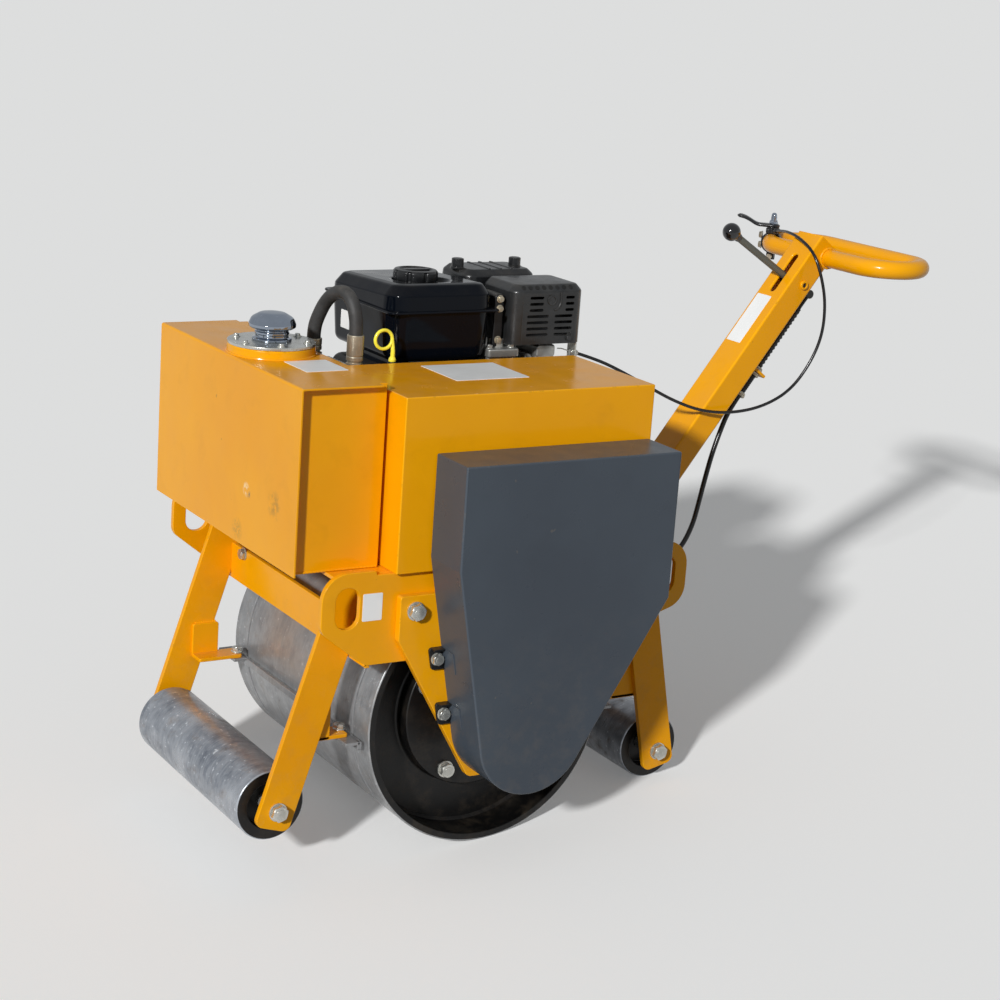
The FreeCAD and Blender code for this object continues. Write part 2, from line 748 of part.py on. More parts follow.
ball = Part.makeSphere(lever_knob_radius, lever_top + lever_axis * (lever_knob_radius - 2))
add("lever_knob", ball.cut(rod(tuple(lever_low), tuple(lever_top), lever_radius)))

# Two ears on the rear cross plate hold the column's foot on two bolts
ear_in = column_half + ear_gap
ear_out = ear_in + ear_thick
ear_rear_x = foot_bolts[1].x - ear_margin
ear_corners = [(rear_cross_back, deck_low_z, 0), (rear_cross_back, cross_low_z, 0),
               (foot_bolts[0].x + ear_margin, foot_bolts[0].z - ear_margin * 1.6, 20),
               (ear_rear_x, foot_bolts[1].z - ear_margin * 1.6, 22), (ear_rear_x, deck_low_z, 12)]
ear = plate_y(ear_corners, ear_in, ear_out)
for at in foot_bolts:
    ear = ear.cut(rod_y(at.x, at.z, ear_in - 1, ear_out + 1, foot_bolt_radius + bolt_clear))
nodes["rear_cross_plate"] = fused(nodes["rear_cross_plate"], ear, mirrored(ear))
for name, at in zip(("handle_bolt_low", "handle_bolt_high"), foot_bolts):
    head_y = ear_out + washer_thick
    shank = rod_y(at.x, at.z, -head_y, head_y, foot_bolt_radius)
    washer = rod_y(at.x, at.z, ear_out, head_y, washer_radius)
    head = hex_y(at.x, at.z, head_y, head_y + bolt_head_height, bolt_head_flats)
    add(name, fused(shank, washer, head, mirrored(washer), mirrored(head)))

# Engine: base, crankcase with cylinder, fan housing, tank, guard and air cleaner
engine_base_z = frame_top_z + engine_base_height
crankcase_top_z = engine_base_z + crankcase_height
fuel_low_z = crankcase_top_z + fuel_leg_height
fuel_seam_z = fuel_low_z + fuel_body_height
fuel_shoulder_z = fuel_seam_z + fuel_shoulder_height
fuel_top_z = fuel_shoulder_z + fuel_crown_height
guard_low_z = crankcase_top_z + guard_rise
guard_top_z = guard_low_z + guard_height
guard_shoulder_z = guard_top_z - guard_shoulder
cleaner_low_z = crankcase_top_z + cleaner_rise
cleaner_top_z = cleaner_low_z + cleaner_height
base = box((engine_rear_x - base_overhang, engine_front_x + base_overhang / 3), (engine_far_y, engine_near_y),
           (frame_top_z, engine_base_z))
base_in = box((engine_rear_x - base_overhang - 1, engine_front_x + base_overhang / 3 + 1),
              (engine_far_y + base_sheet, engine_near_y - base_sheet),
              (frame_top_z - 1, engine_base_z - base_sheet))
add("engine_base", base.cut(base_in))
case = plate_y(rectangle(engine_rear_x, engine_front_x, engine_base_z, crankcase_top_z, 18),
               engine_far_y, engine_near_y)
cylinder = box((guard_rear_x + 40, engine_rear_x), (engine_far_y + 30, engine_near_y - 30),
               (engine_base_z + 40, crankcase_top_z + 16))
crank_z = engine_base_z + crank_rise
tube_low = crank_z - 40
dip_boss = box((dipstick_x - 8, dipstick_x + 6), (engine_near_y - 1, dipstick_y + 7),
               (tube_low - 12, tube_low + 8))
dip_tube = rod_z(dipstick_x, dipstick_y, tube_low, housing_top_z, 5)
add("engine_block", fused(case, cylinder, dip_boss, dip_tube))
dip_stem = rod_z(dipstick_x, dipstick_y, housing_top_z, housing_top_z + 36, 3)
dip_ring = Part.makeTorus(15, 2.8, V(dipstick_x + 14, dipstick_y, housing_top_z + 36), V(0, 1, 0))
add("dipstick", fused(rod_z(dipstick_x, dipstick_y, housing_top_z, housing_top_z + 5, 6), dip_stem, dip_ring))
fan = rod_y(crank_x, crank_z, engine_far_y - fan_depth, engine_far_y, fan_radius)
add("fan_housing", fan)


def tapered(x, y, levels):
    """Box with rounded upright corners through rows of (height, inset, corner radius), lowest first."""
    wires = []
    for z, inset, radius in levels:
        rows = rectangle(x[0] + inset, x[1] - inset, y[0] + inset, y[1] - inset, radius)
        wires.append(rounded_wire(rows, lambda a, b, z=z: V(a, b, z)))
    return Part.makeLoft(wires, True, True)


fuel_x = (fuel_rear_x, fuel_front_x)
fuel_y = (fuel_far_y, fuel_near_y)
fuel_low = tapered(fuel_x, fuel_y, [(fuel_low_z, fuel_draft, fuel_corner - fuel_draft),
                                    (fuel_seam_z, 0, fuel_corner)])
fuel_high = tapered(fuel_x, fuel_y, [(fuel_seam_z, 0, fuel_corner),
                                     (fuel_shoulder_z, fuel_draft / 2, fuel_corner - fuel_draft / 2),
                                     (fuel_top_z, fuel_shoulder_inset, fuel_corner - fuel_shoulder_inset)])
fuel_rim = plate_z(rectangle(fuel_rear_x - fuel_flange, fuel_front_x + fuel_flange, fuel_far_y - fuel_flange,
                             fuel_near_y + fuel_flange, fuel_corner * 0.7), fuel_seam_z - 2, fuel_seam_z + 2)
legs = []
for leg_x in (engine_front_x - 25, engine_rear_x + 30):
    leg_y = (engine_far_y + 20, engine_near_y - 20)
    legs.append(box((leg_x - 12, leg_x + 12), leg_y, (crankcase_top_z, fuel_low_z)))
fuel_dish_z = fuel_top_z - fuel_dish_depth
dish = rod_z(fuel_cap_x, fuel_cap_y, fuel_dish_z, fuel_top_z + 1, fuel_dish_radius)
add("fuel_tank", fused(fuel_low, fuel_high, fuel_rim, *legs).cut(dish))
fuel_cap_z = fuel_dish_z + fuel_cap_height
cap = rod_z(fuel_cap_x, fuel_cap_y, fuel_dish_z, fuel_cap_z, fuel_cap_radius)
for k in range(fuel_cap_lobes):
    turn = 2 * pi * k / fuel_cap_lobes
    groove_x = fuel_cap_x + (fuel_cap_radius + 3) * cos(turn)
    groove_y = fuel_cap_y + (fuel_cap_radius + 3) * sin(turn)
    cap = cap.cut(rod_z(groove_x, groove_y, fuel_dish_z + 5, fuel_cap_z + 1, 6))
add("fuel_cap", cap)
guard_x = (guard_rear_x, guard_front_x)
guard_y = (guard_far_y, guard_near_y)
guard_levels = [(guard_low_z, 0, guard_corner), (guard_shoulder_z, 0, guard_corner),
                (guard_top_z, guard_shoulder, guard_corner - guard_shoulder)]
guard_far = guard_far_y - 2 * guard_corner
guard = tapered(guard_x, (guard_far, guard_near_y), guard_levels)
rises = (guard_sheet, 0, -guard_sheet)
inner_levels = [(z + rise, inset + guard_sheet, radius - guard_sheet)
                for rise, (z, inset, radius) in zip(rises, guard_levels)]
guard = guard.cut(tapered(guard_x, (guard_far, guard_near_y), inner_levels))
guard = guard.common(box((guard_rear_x - 1, guard_front_x + 1), (guard_far_y, guard_near_y + 1),
                         (guard_low_z - 1, guard_top_z + 1)))
pitch = (guard_slot_high - guard_slot_low) / guard_rows
for row in range(guard_rows):
    low = guard_low_z + guard_slot_low + row * pitch
    for slot_x, slot_length in guard_slots:
        guard = guard.cut(box((slot_x - slot_length / 2, slot_x + slot_length / 2),
                              (guard_near_y - 5, guard_near_y + 5), (low, low + pitch * 0.5)))
add("muffler_guard", guard)
muffler = box((guard_rear_x + 18, guard_front_x - 18), (guard_far_y, guard_near_y - 18),
              (guard_low_z + guard_sheet, guard_shoulder_z - 6))
add("muffler", muffler)
cleaner = plate_z(rectangle(cleaner_rear_x, cleaner_front_x, cleaner_far_y, cleaner_near_y, 22),
                  cleaner_low_z, cleaner_top_z)
knob_y = (cleaner_near_y + cleaner_far_y) / 2
knobs = [rod_z(x, knob_y, cleaner_top_z, cleaner_top_z + knob_height, knob_radius)
         for x in (cleaner_front_x - 14, cleaner_rear_x + 20)]
elbow = box((cleaner_rear_x + 50, cleaner_front_x - 40), (cleaner_near_y - 28, cleaner_near_y - 2),
            (crankcase_top_z + 16, cleaner_low_z))
add("air_cleaner", fused(cleaner, elbow, *knobs))

# Hose and cables
hose_route = [(164, 47, 796), (164, 47, 812), (165, 43.5, 829), (166.5, 36, 844), (168.5, 24, 854.5),
              (171, 10, 858), (175, -13, 852), (180, -32.4, 834.6), (185.5, -44.5, 809), (188.5, -50, 790),
              (188.5, -50, 774)]
add("hydraulic_hose", cord_tube("hydraulic_hose", hose_route, hose_diameter))
valve = box((valve_rear_x, valve_front_x), (valve_far_y, housing_far_y), (valve_low_z, valve_top_z))
fittings = []
for foot in (hose_route[0], hose_route[-1]):
    nut_top = valve_top_z + nut_height
    nut = hex_y(foot[0], 0, 0, nut_height, nut_flats)
    nut.rotate(V(foot[0], 0, 0), V(1, 0, 0), 90)
    nut.translate(V(0, foot[1], valve_top_z))
    fittings.append(nut)
    fittings.append(rod_z(foot[0], foot[1], nut_top, foot[2], ferrule_radius))
add("valve_block", fused(valve, *fittings))
swing = radians(clamp_angle)
seat = V(ring_mid_x + ring_bend * cos(swing), -ring_straight - ring_bend * sin(swing), ring_z)
throttle_start = (seat.x + 20, seat.y + 36, ring_z + 26)
throttle_next = (seat.x + 33, seat.y + 66, ring_z + 31)
throttle_route = [throttle_start, throttle_next, (-753, -50, 935.5), (-743.5, -6, 932.5), (-740, 43, 914),
                  (-747.5, 62, 874), (-756.5, 70, 827), (-757.5, 70, 769.5), (-739.5, 66, 717.5), (-705, 60, 668),
                  (-648, 57, 641), (-584, 52, 632), (-522, 48, 638), (-464, 44, 658), (-408, 38, 686),
                  (-358, 30, 712), (-314, 20, 732), (-276, 12, 743)]
add("throttle_cable", cord_tube("throttle_cable", throttle_route, throttle_cable_diameter))
cable_start = cable_line - along * cable_lead
cable_next = cable_line - along * (cable_lead + 34)
control_route = [tuple(cable_start), tuple(cable_next), (-595, 11, 587), (-581, 13, 549), (-569, 16, 508),
                 (-556, 21, 464), (-541, 28, 422), (-512, 38, 386),
                 (-468, 50, 363), (-418, 58, 353), (-372, 62, 352), (-334, 62, 356), (-302, 62, 360)]
add("control_cable", cord_tube("control_cable", control_route, control_cable_diameter))


def cord_end(route, last, length, radius):
    """Round fitting face to face with a cord's end, on the line of its last run."""
    tip = V(*(route[-1] if last else route[0]))
    inner = V(*(route[-2] if last else route[1]))
    heading = tip - inner
    heading.normalize()
    return Part.makeCylinder(radius, length, tip, heading), tip + heading * length


# Cable sleeve in its stop under the column, and the pull rod from the lever's tail to it
sleeve, sleeve_end = cord_end(control_route, False, sleeve_length, sleeve_radius)
nut = cord_end(control_route, False, 10, sleeve_radius + 3)[0]
eye_at = lever_low + lever_axis * 8
eye_in = lever_radius + stop_gap
eye_out = eye_in + rod_radius * 1.6
pull = rod(tuple(sleeve_end), (eye_at.x, (eye_in + eye_out) / 2, eye_at.z), rod_radius * 0.7)
boot_end = sleeve_end + (V(eye_at.x, sleeve_end.y, eye_at.z) - sleeve_end) * 0.8
boot = rod(tuple(sleeve_end), tuple(boot_end), rod_radius)
eye = rod_y(eye_at.x, eye_at.z, eye_in, eye_out, rod_radius + 3)
add("pull_rod", fused(sleeve, nut, pull, boot, eye))

# Bulkhead gland on the rear cross plate, and the cable bracket on the engine
gland, gland_end = cord_end(control_route, True, 40, control_cable_diameter / 2 + 3)
behind = box((rear_cross_back, 0), (0, side_inner_y), (cross_low_z - 60, frame_top_z))
collar = rod((rear_cross_back - 10, control_route[-1][1], control_route[-1][2]),
             (rear_cross_back, control_route[-1][1], control_route[-1][2]), 11)
add("cable_gland", fused(gland.cut(behind), collar))
ferrule, ferrule_tip = cord_end(throttle_route, True, 14, throttle_cable_diameter / 2 + 2.5)
tab_x = guard_rear_x + 2
shelf_z = ferrule_tip.z - 16
tab = box((tab_x - 3, tab_x), (ferrule_tip.y - 12, ferrule_tip.y + 12), (shelf_z, guard_low_z - 1))
shelf = box((tab_x - 3, guard_rear_x + 40), (ferrule_tip.y - 12, ferrule_tip.y - 2), (shelf_z, shelf_z + 3))
add("throttle_bracket", fused(ferrule, tab, shelf))

# Throttle lever on a clamp round the ring's bend
tangent = V(-sin(swing), -cos(swing), 0)
band_out = ring_tube / 2 + clamp_gap + clamp_wall
band_low = seat - tangent * clamp_width / 2
band_high = seat + tangent * clamp_width / 2
band = rod(tuple(band_low), tuple(band_high), band_out)
hub_top = ring_z + band_out + throttle_hub_height
hub = rod_z(seat.x, seat.y, ring_z, hub_top, throttle_hub_radius)
stud_base = hub_top + throttle_lever_thick
stud = rod_z(seat.x, seat.y, stud_base, stud_base + throttle_stud_height, throttle_stud_radius)
stud_nut = rod_z(seat.x, seat.y, stud_base, stud_base + 8, throttle_stud_radius + 3)
ear_low = ring_z - band_out - 12
pinch = box((-7, 7), (-clamp_width / 2, clamp_width / 2), (ear_low, ring_z))
pinch.rotate(V(0, 0, 0), V(0, 0, 1), 180 - clamp_angle)
pinch.translate(V(seat.x, seat.y, 0))
pinch_bolt = rod_y(0, 0, -clamp_width / 2 - 6, clamp_width / 2 + 6, 5)
pinch_bolt.rotate(V(0, 0, 0), V(0, 0, 1), 180 - clamp_angle)
pinch_bolt.translate(V(seat.x, seat.y, ring_z - band_out - 6))
guide, guide_end = cord_end(throttle_route, False, 8, throttle_cable_diameter / 2 + 1.8)
guide = fused(guide, rod(tuple(guide_end), (seat.x, seat.y, guide_end.z), throttle_cable_diameter / 2 + 1.2))
bore = rod(tuple(seat - tangent * 30), tuple(seat + tangent * 30), ring_tube / 2 + clamp_gap)
body = fused(band, hub, stud, stud_nut, pinch, pinch_bolt).cut(bore)
# The lever's blade rises away from the hub along its side profile and is cut to shape from above
upper = [V(x, -20, z + throttle_lever_thick) for x, z in throttle_lever_profile]
lower = [V(x, -20, z) for x, z in reversed(throttle_lever_profile)]
blade = Part.Face(Part.makePolygon(upper + lower + upper[:1])).extrude(V(0, 40, 0))
tip_reach = throttle_lever_profile[-1][0]
lever_corners = [(-12, -12, 9), (-12, 12, 9), (16, 7, 10), (40, 8, 30), (tip_reach, 11, 8), (tip_reach, -9, 8),
                 (40, -5, 30), (16, -7, 10)]
blade = blade.common(plate_z(lever_corners, -5, 60))
blade.rotate(V(0, 0, 0), V(0, 0, 1), throttle_lever_turn)
blade.translate(V(seat.x, seat.y, hub_top))
add("throttle_lever", fused(body, guide, blade))

# Parked pose: tipped back about the drum's axis until the rear roller is on the floor
arm_x = rear_axle_x
arm_z = roller_axle_z - drum_axis_z
tip = asin((drum_radius - roller_radius) / hypot(arm_x, arm_z)) - atan2(-arm_z, -arm_x)
tip_degrees = degrees(tip)
cords = ("hydraulic_hose", "throttle_cable", "control_cable")
placed = {}
for name, shape in nodes.items():
    turned = shape.copy()
    turned.rotate(V(0, 0, drum_axis_z), V(0, 1, 0), -tip_degrees)
    placed[name] = turned
bounds = FreeCAD.BoundBox()
for name, shape in placed.items():
    if name not in cords:
        bounds.add(shape.BoundBox)
shift = V(-(bounds.XMin + bounds.XMax) / 2, -(bounds.YMin + bounds.YMax) / 2, 0)
print("tipped by", round(tip_degrees, 4), "shift", shift, "lowest", bounds.ZMin)
for x in (front_axle_x, 0, rear_axle_x):
    z = roller_axle_z if x else drum_axis_z
    point = V(x, 0, z - drum_axis_z)
    centre = V(point.x * cos(tip) - point.z * sin(tip), 0,
               point.x * sin(tip) + point.z * cos(tip) + drum_axis_z)
    print("axle", x, "at", centre + shift)
os.makedirs("parts", exist_ok=True)
for name, shape in placed.items():
    shape.translate(shift)
    shape.exportStep("parts/" + name + ".step")
    solids = len(shape.Solids)
    if solids != 1 or not shape.isValid():
        print("look at", name, "solids", solids, "valid", shape.isValid())
print(len(placed), "nodes, volume litres", round(sum(s.Volume for s in placed.values()) / 1e6, 2))
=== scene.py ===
import json
from math import acos, atan2, cos, degrees, hypot, pi, radians, sin, tan

import bpy
import numpy as np
from mathutils import Matrix, Vector
from mathutils.geometry import tessellate_polygon


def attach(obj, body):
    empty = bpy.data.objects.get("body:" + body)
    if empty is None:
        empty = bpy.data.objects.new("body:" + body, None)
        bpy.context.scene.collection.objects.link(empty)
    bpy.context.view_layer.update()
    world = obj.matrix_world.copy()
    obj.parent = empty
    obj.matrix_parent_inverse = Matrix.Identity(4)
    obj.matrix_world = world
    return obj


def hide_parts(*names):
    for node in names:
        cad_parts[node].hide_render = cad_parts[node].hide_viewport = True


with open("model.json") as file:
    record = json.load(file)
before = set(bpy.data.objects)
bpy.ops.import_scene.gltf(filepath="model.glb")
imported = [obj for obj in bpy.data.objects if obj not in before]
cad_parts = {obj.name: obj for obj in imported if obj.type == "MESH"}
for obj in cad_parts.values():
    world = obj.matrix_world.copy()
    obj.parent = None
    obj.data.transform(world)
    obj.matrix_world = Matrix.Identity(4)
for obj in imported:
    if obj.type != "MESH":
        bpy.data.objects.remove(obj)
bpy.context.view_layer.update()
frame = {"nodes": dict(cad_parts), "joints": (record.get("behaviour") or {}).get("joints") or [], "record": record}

bl_info = {
    "name": "Walk-behind road roller",
    "version": (1, 0, 0),
    "blender": (4, 5, 0),
    "location": "View3D > Sidebar > Roller",
    "description": "Builds the visible pieces of a parked walk-behind road roller",
    "category": "Add Mesh",
}

# The machine is drawn level in millimetres, its drum axis above the origin, and then parked:
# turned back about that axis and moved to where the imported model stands.
axles = {joint["child"]: joint["pos_m"] for joint in frame["joints"]}
drum_place = np.array(axles["drum"])
rear_place = np.array(axles["rear_small_roller"])
DRUM_R = drum_place[2] * 1000
AXLE_Z = 94.0
ROLLER_X = {"front": 350.0, "rear": -360.0}
LEVEL_REAR = (ROLLER_X["rear"], AXLE_Z - DRUM_R)
parked_rear = (rear_place - drum_place) * 1000
TIP = atan2(parked_rear[2], parked_rear[0]) - atan2(LEVEL_REAR[1], LEVEL_REAR[0])


def park(points):
    """Level millimetres to parked metres: a turn about the drum's axis, then its place."""
    p = np.asarray(points, float)
    up = p[..., 2] - DRUM_R
    x = p[..., 0] * cos(TIP) - up * sin(TIP)
    z = p[..., 0] * sin(TIP) + up * cos(TIP)
    return np.stack([x, p[..., 1], z], -1) / 1000 + drum_place


# Surfaces
# A shape is (points, quads, triangles, wear), where wear is 1 on edges that lose their paint.


def shape(points, quads=None, tris=None, wear=None):
    """The four arrays of a shape, with nothing where none are given."""
    points = np.asarray(points, float)
    quads = np.zeros((0, 4), int) if quads is None else np.asarray(quads, int).reshape(-1, 4)
    tris = np.zeros((0, 3), int) if tris is None else np.asarray(tris, int).reshape(-1, 3)
    wear = np.zeros(len(points)) if wear is None else np.asarray(wear, float)
    return points, quads, tris, wear


def joined(*shapes):
    """Several shapes as one."""
    points, quads, tris, wear, count = [], [], [], [], 0
    for p, q, t, w in shapes:
        points.append(p)
        quads.append(q + count)
        tris.append(t + count)
        wear.append(w)
        count += len(p)
    return np.concatenate(points), np.concatenate(quads), np.concatenate(tris), np.concatenate(wear)


def other_side(s):
    """The same shape on the machine's other side, with its faces turned back outwards."""
    p, q, t, w = s
    return p * (1, -1, 1), q[:, ::-1], t[:, ::-1], w


def moved(s, by):
    """A shape shifted by a vector."""
    return s[0] + np.asarray(by, float), s[1], s[2], s[3]


def turned_about(s, origin, axis, angle):
    """Turned by an angle in degrees about an axis through a point."""
    m = np.array(Matrix.Rotation(radians(angle), 3, Vector(axis)))
    return (s[0] - origin) @ m.T + origin, s[1], s[2], s[3]


def grid_quads(rows, columns, around, along=False):
    """Quads of a rows by columns grid; around closes each row on itself, along closes the columns."""
    k = np.arange(columns if around else columns - 1)
    j = np.arange(rows if along else rows - 1)
    j, k = np.meshgrid(j, k, indexing="ij")
    k2 = (k + 1) % columns
    j2 = (j + 1) % rows
    return np.stack([j * columns + k, j * columns + k2, j2 * columns + k2, j2 * columns + k], -1).reshape(-1, 4)


def fan(hub, first, count, back=False):
    """Triangles from a hub point to a ring of points, numbered from the first; back turns them over."""
    here = first + np.arange(count)
    after = first + (np.arange(count) + 1) % count
    pair = (after, here) if back else (here, after)
    return np.stack([np.full(count, hub), *pair], -1)


def turns(count):
    """Angles spaced evenly round a circle."""
    return np.linspace(0, 2 * pi, count, endpoint=False)


def hoop(centre, radius, upright, count):
    """Points round a circle, which lies level or stands upright along the machine."""
    points = np.tile(np.asarray(centre, float), (count, 1))
    points[:, 0] += radius * np.cos(turns(count))
    points[:, 2 if upright else 1] += radius * np.sin(turns(count))
    return points


def arcs(rows, steps=5, closed=True):
    """Points of an outline of (a, b, radius) rows: each corner is the circle tangent to its two edges."""
    out = []
    n = len(rows)
    for k, row in enumerate(rows):
        here = np.array(row[:2], float)
        r = row[2] if len(row) > 2 else 0
        if r <= 0 or (not closed and k in (0, n - 1)):
            out.append(here[None])
            continue
        u = np.array(rows[k - 1][:2], float) - here
        w = np.array(rows[(k + 1) % n][:2], float) - here
        u /= np.linalg.norm(u)
        w /= np.linalg.norm(w)
        half = acos(max(-1.0, min(1.0, float(u @ w)))) / 2
        centre = here + (u + w) / np.linalg.norm(u + w) * r / sin(half)
        a = here + u * r / tan(half) - centre
        b = here + w * r / tan(half) - centre
        whole = atan2(a[0] * b[1] - a[1] * b[0], a @ b)
        t = np.linspace(0, whole, steps + 1)
        c, s = np.cos(t), np.sin(t)
        out.append(centre + np.stack([a[0] * c - a[1] * s, a[0] * s + a[1] * c], -1))
    return np.concatenate(out)


def signed_area(loop):
    """Area within a loop, above zero where it runs counterclockwise."""
    a, b = loop.T
    return 0.5 * float(np.sum(a * np.roll(b, -1) - np.roll(a, -1) * b))


def mitres(loop):
    """Outward offsets of a counterclockwise loop: a step of one along both neighbouring edges' normals."""
    ahead = np.roll(loop, -1, 0) - loop
    ahead /= np.linalg.norm(ahead, axis=1)[:, None]
    n2 = np.stack([ahead[:, 1], -ahead[:, 0]], -1)
    n1 = np.roll(n2, 1, 0)
    return (n1 + n2) / (1 + np.sum(n1 * n2, 1))[:, None]


def rim(soft_low, soft_high, low, high, turn):
    """Edge profile of a plate as rows of (inset, height, wear): a quarter round at each face."""
    t = np.linspace(0, pi / 2, turn + 1)
    rows = []
    if soft_low > 0:
        rows.append(np.stack([soft_low * (1 - np.sin(t)), low + soft_low * (1 - np.cos(t)), np.sin(2 * t)], -1))
    else:
        rows.append(np.array([[0, low, 0.0]]))
    if soft_high > 0:
        rows.append(np.stack([soft_high * (1 - np.cos(t)), high - soft_high * (1 - np.sin(t)), np.sin(2 * t)], -1))
    else:
        rows.append(np.array([[0, high, 0.0]]))
    return np.concatenate(rows)


def caps(loops, low_side):
    """Flat cap between loops, filled by triangles that face along or against the plate's axis."""
    tris = np.array(tessellate_polygon([[Vector((p[0], p[1], 0)) for p in loop] for loop in loops]), int)
    flat = np.concatenate(loops)
    a, b, c = flat[tris[:, 0]], flat[tris[:, 1]], flat[tris[:, 2]]
    cross = (b[:, 0] - a[:, 0]) * (c[:, 1] - a[:, 1]) - (b[:, 1] - a[:, 1]) * (c[:, 0] - a[:, 0])
    wrong = cross < 0 if not low_side else cross > 0
    tris[wrong] = tris[wrong][:, ::-1]
    return tris[np.abs(cross) > 1e-9]


def slab(rows, low, high, axis="y", soft=1.0, holes=(), steps=5, turn=3, open_low=False):
    """Plate: its outline in the plane across the axis is carried along an edge profile of two quarter rounds,
    point(k, j) = outline(k) - mitre(k) * inset(j), at height(j), and its faces are filled."""
    soft_low, soft_high = soft if isinstance(soft, tuple) else (soft, soft)
    edge = rim(soft_low, soft_high, low, high, turn)
    points, quads, wear, count = [], [], [], 0
    low_loops, high_loops = [], []
    low_index, high_index = [], []
    for number, corner_rows in enumerate([rows, *holes]):
        loop = arcs(corner_rows, steps) if not isinstance(corner_rows, np.ndarray) else corner_rows
        if (signed_area(loop) > 0) != (number == 0):
            loop = loop[::-1]
        offset = mitres(loop)
        ring = loop[None] - offset[None] * edge[:, 0][:, None, None]
        height = np.broadcast_to(edge[:, 1][:, None], ring.shape[:2])
        points.append(np.concatenate([ring, height[..., None]], -1).reshape(-1, 3))
        wear.append(np.repeat(edge[:, 2], len(loop)))
        quads.append(grid_quads(len(edge), len(loop), True) + count)
        low_loops.append(ring[0])
        high_loops.append(ring[-1])
        low_index.append(count + np.arange(len(loop)))
        high_index.append(count + (len(edge) - 1) * len(loop) + np.arange(len(loop)))
        count += len(edge) * len(loop)
    tris = [np.concatenate(high_index)[caps(high_loops, False)]]
    if not open_low:
        tris.append(np.concatenate(low_index)[caps(low_loops, True)])
    p = np.concatenate(points)
    q = np.concatenate(quads)
    t = np.concatenate(tris)
    if axis == "y":
        p, q, t = p[:, (0, 2, 1)], q[:, ::-1], t[:, ::-1]
    elif axis == "x":
        p = p[:, (2, 0, 1)]
    return p, q, t, np.concatenate(wear)


def block(x, y, z, soft=1.5, corner=None, axis="y", **more):
    """Block with rounded edges between two corners."""
    corner = soft if corner is None else corner
    across = {"x": (y, z), "y": (x, z), "z": (x, y)}[axis]
    corner = min(corner, *[0.49 * abs(b - a) for a, b in across])
    if axis == "y":
        rows, span = rectangle(*x, *z, corner), y
    elif axis == "z":
        rows, span = rectangle(*x, *y, corner), z
    else:
        rows, span = rectangle(*y, *z, corner), x
    return slab(rows, span[0], span[1], axis, soft, **more)


def rectangle(a_low, a_high, b_low, b_high, radius):
    """Outline rows of a rectangle with four like corners."""
    return [(a_low, b_low, radius), (a_high, b_low, radius), (a_high, b_high, radius), (a_low, b_high, radius)]


def basis(axis):
    """Two directions across an axis, so that the three turn the right way."""
    a = np.asarray(axis, float)
    a = a / np.linalg.norm(a)
    helper = np.array((0, 0, 1.0)) if abs(a[2]) < 0.9 else np.array((1.0, 0, 0))
    e1 = np.cross(helper, a)
    e1 /= np.linalg.norm(e1)
    return a, e1, np.cross(a, e1)


def bends(line):
    """How sharply a profile turns at each of its points, 0 to 1."""
    bend = np.zeros(len(line))
    step = np.diff(line, axis=0)
    turn = np.abs(np.diff(np.arctan2(step[:, 1], step[:, 0])))
    bend[1:-1] = np.clip(np.minimum(turn, 2 * pi - turn) * 1.6, 0, 1)
    return bend


def lathe(profile, at, axis, steps=64, soft_steps=4, closed=False, wave=None):
    """Surface of revolution: point = at + axis * height + radius * (e1 cos t + e2 sin t), the profile being rows of
    (radius, height, corner radius). A wave multiplies the radius by a function of the angle and the height."""
    rows = [tuple(r) if len(r) > 2 else (*r, 0) for r in profile]
    line = arcs(rows, soft_steps, closed)
    a, e1, e2 = basis(axis)
    t = turns(steps)
    radius = np.broadcast_to(line[:, 0][:, None], (len(line), steps)).copy()
    height = np.broadcast_to(line[:, 1][:, None], (len(line), steps))
    if wave is not None:
        radius = radius * wave(t[None], height)
    spin = radius[..., None] * (e1 * np.cos(t)[None, :, None] + e2 * np.sin(t)[None, :, None])
    points = (np.asarray(at, float) + height[..., None] * a + spin).reshape(-1, 3)
    quads = grid_quads(len(line), steps, True, closed)
    bend = bends(line)
    keep = np.ones(len(quads), bool)
    tris = []
    last = len(line) - 1
    if not closed and line[0, 0] < 1e-6:
        keep[:steps] = False
        tris.append(fan(0, steps, steps, True))
    if not closed and line[last, 0] < 1e-6:
        keep[-steps:] = False
        tris.append(fan(last * steps, (last - 1) * steps, steps))
    return shape(points, quads[keep], np.concatenate(tris) if tris else None, np.repeat(bend, steps))


def frames(path, closed=False):
    """Pairs of directions across a path that turn as little as they can."""
    path = np.asarray(path, float)
    if closed:
        tangent = np.roll(path, -1, 0) - np.roll(path, 1, 0)
    else:
        tangent = np.gradient(path, axis=0)
    tangent /= np.linalg.norm(tangent, axis=1)[:, None]
    _, first, _ = basis(tangent[0])
    across = [first]
    for k in range(1, len(path)):
        v = across[-1] - tangent[k] * (across[-1] @ tangent[k])
        across.append(v / np.linalg.norm(v))
    across = np.array(across)
    return across, np.cross(tangent, across)


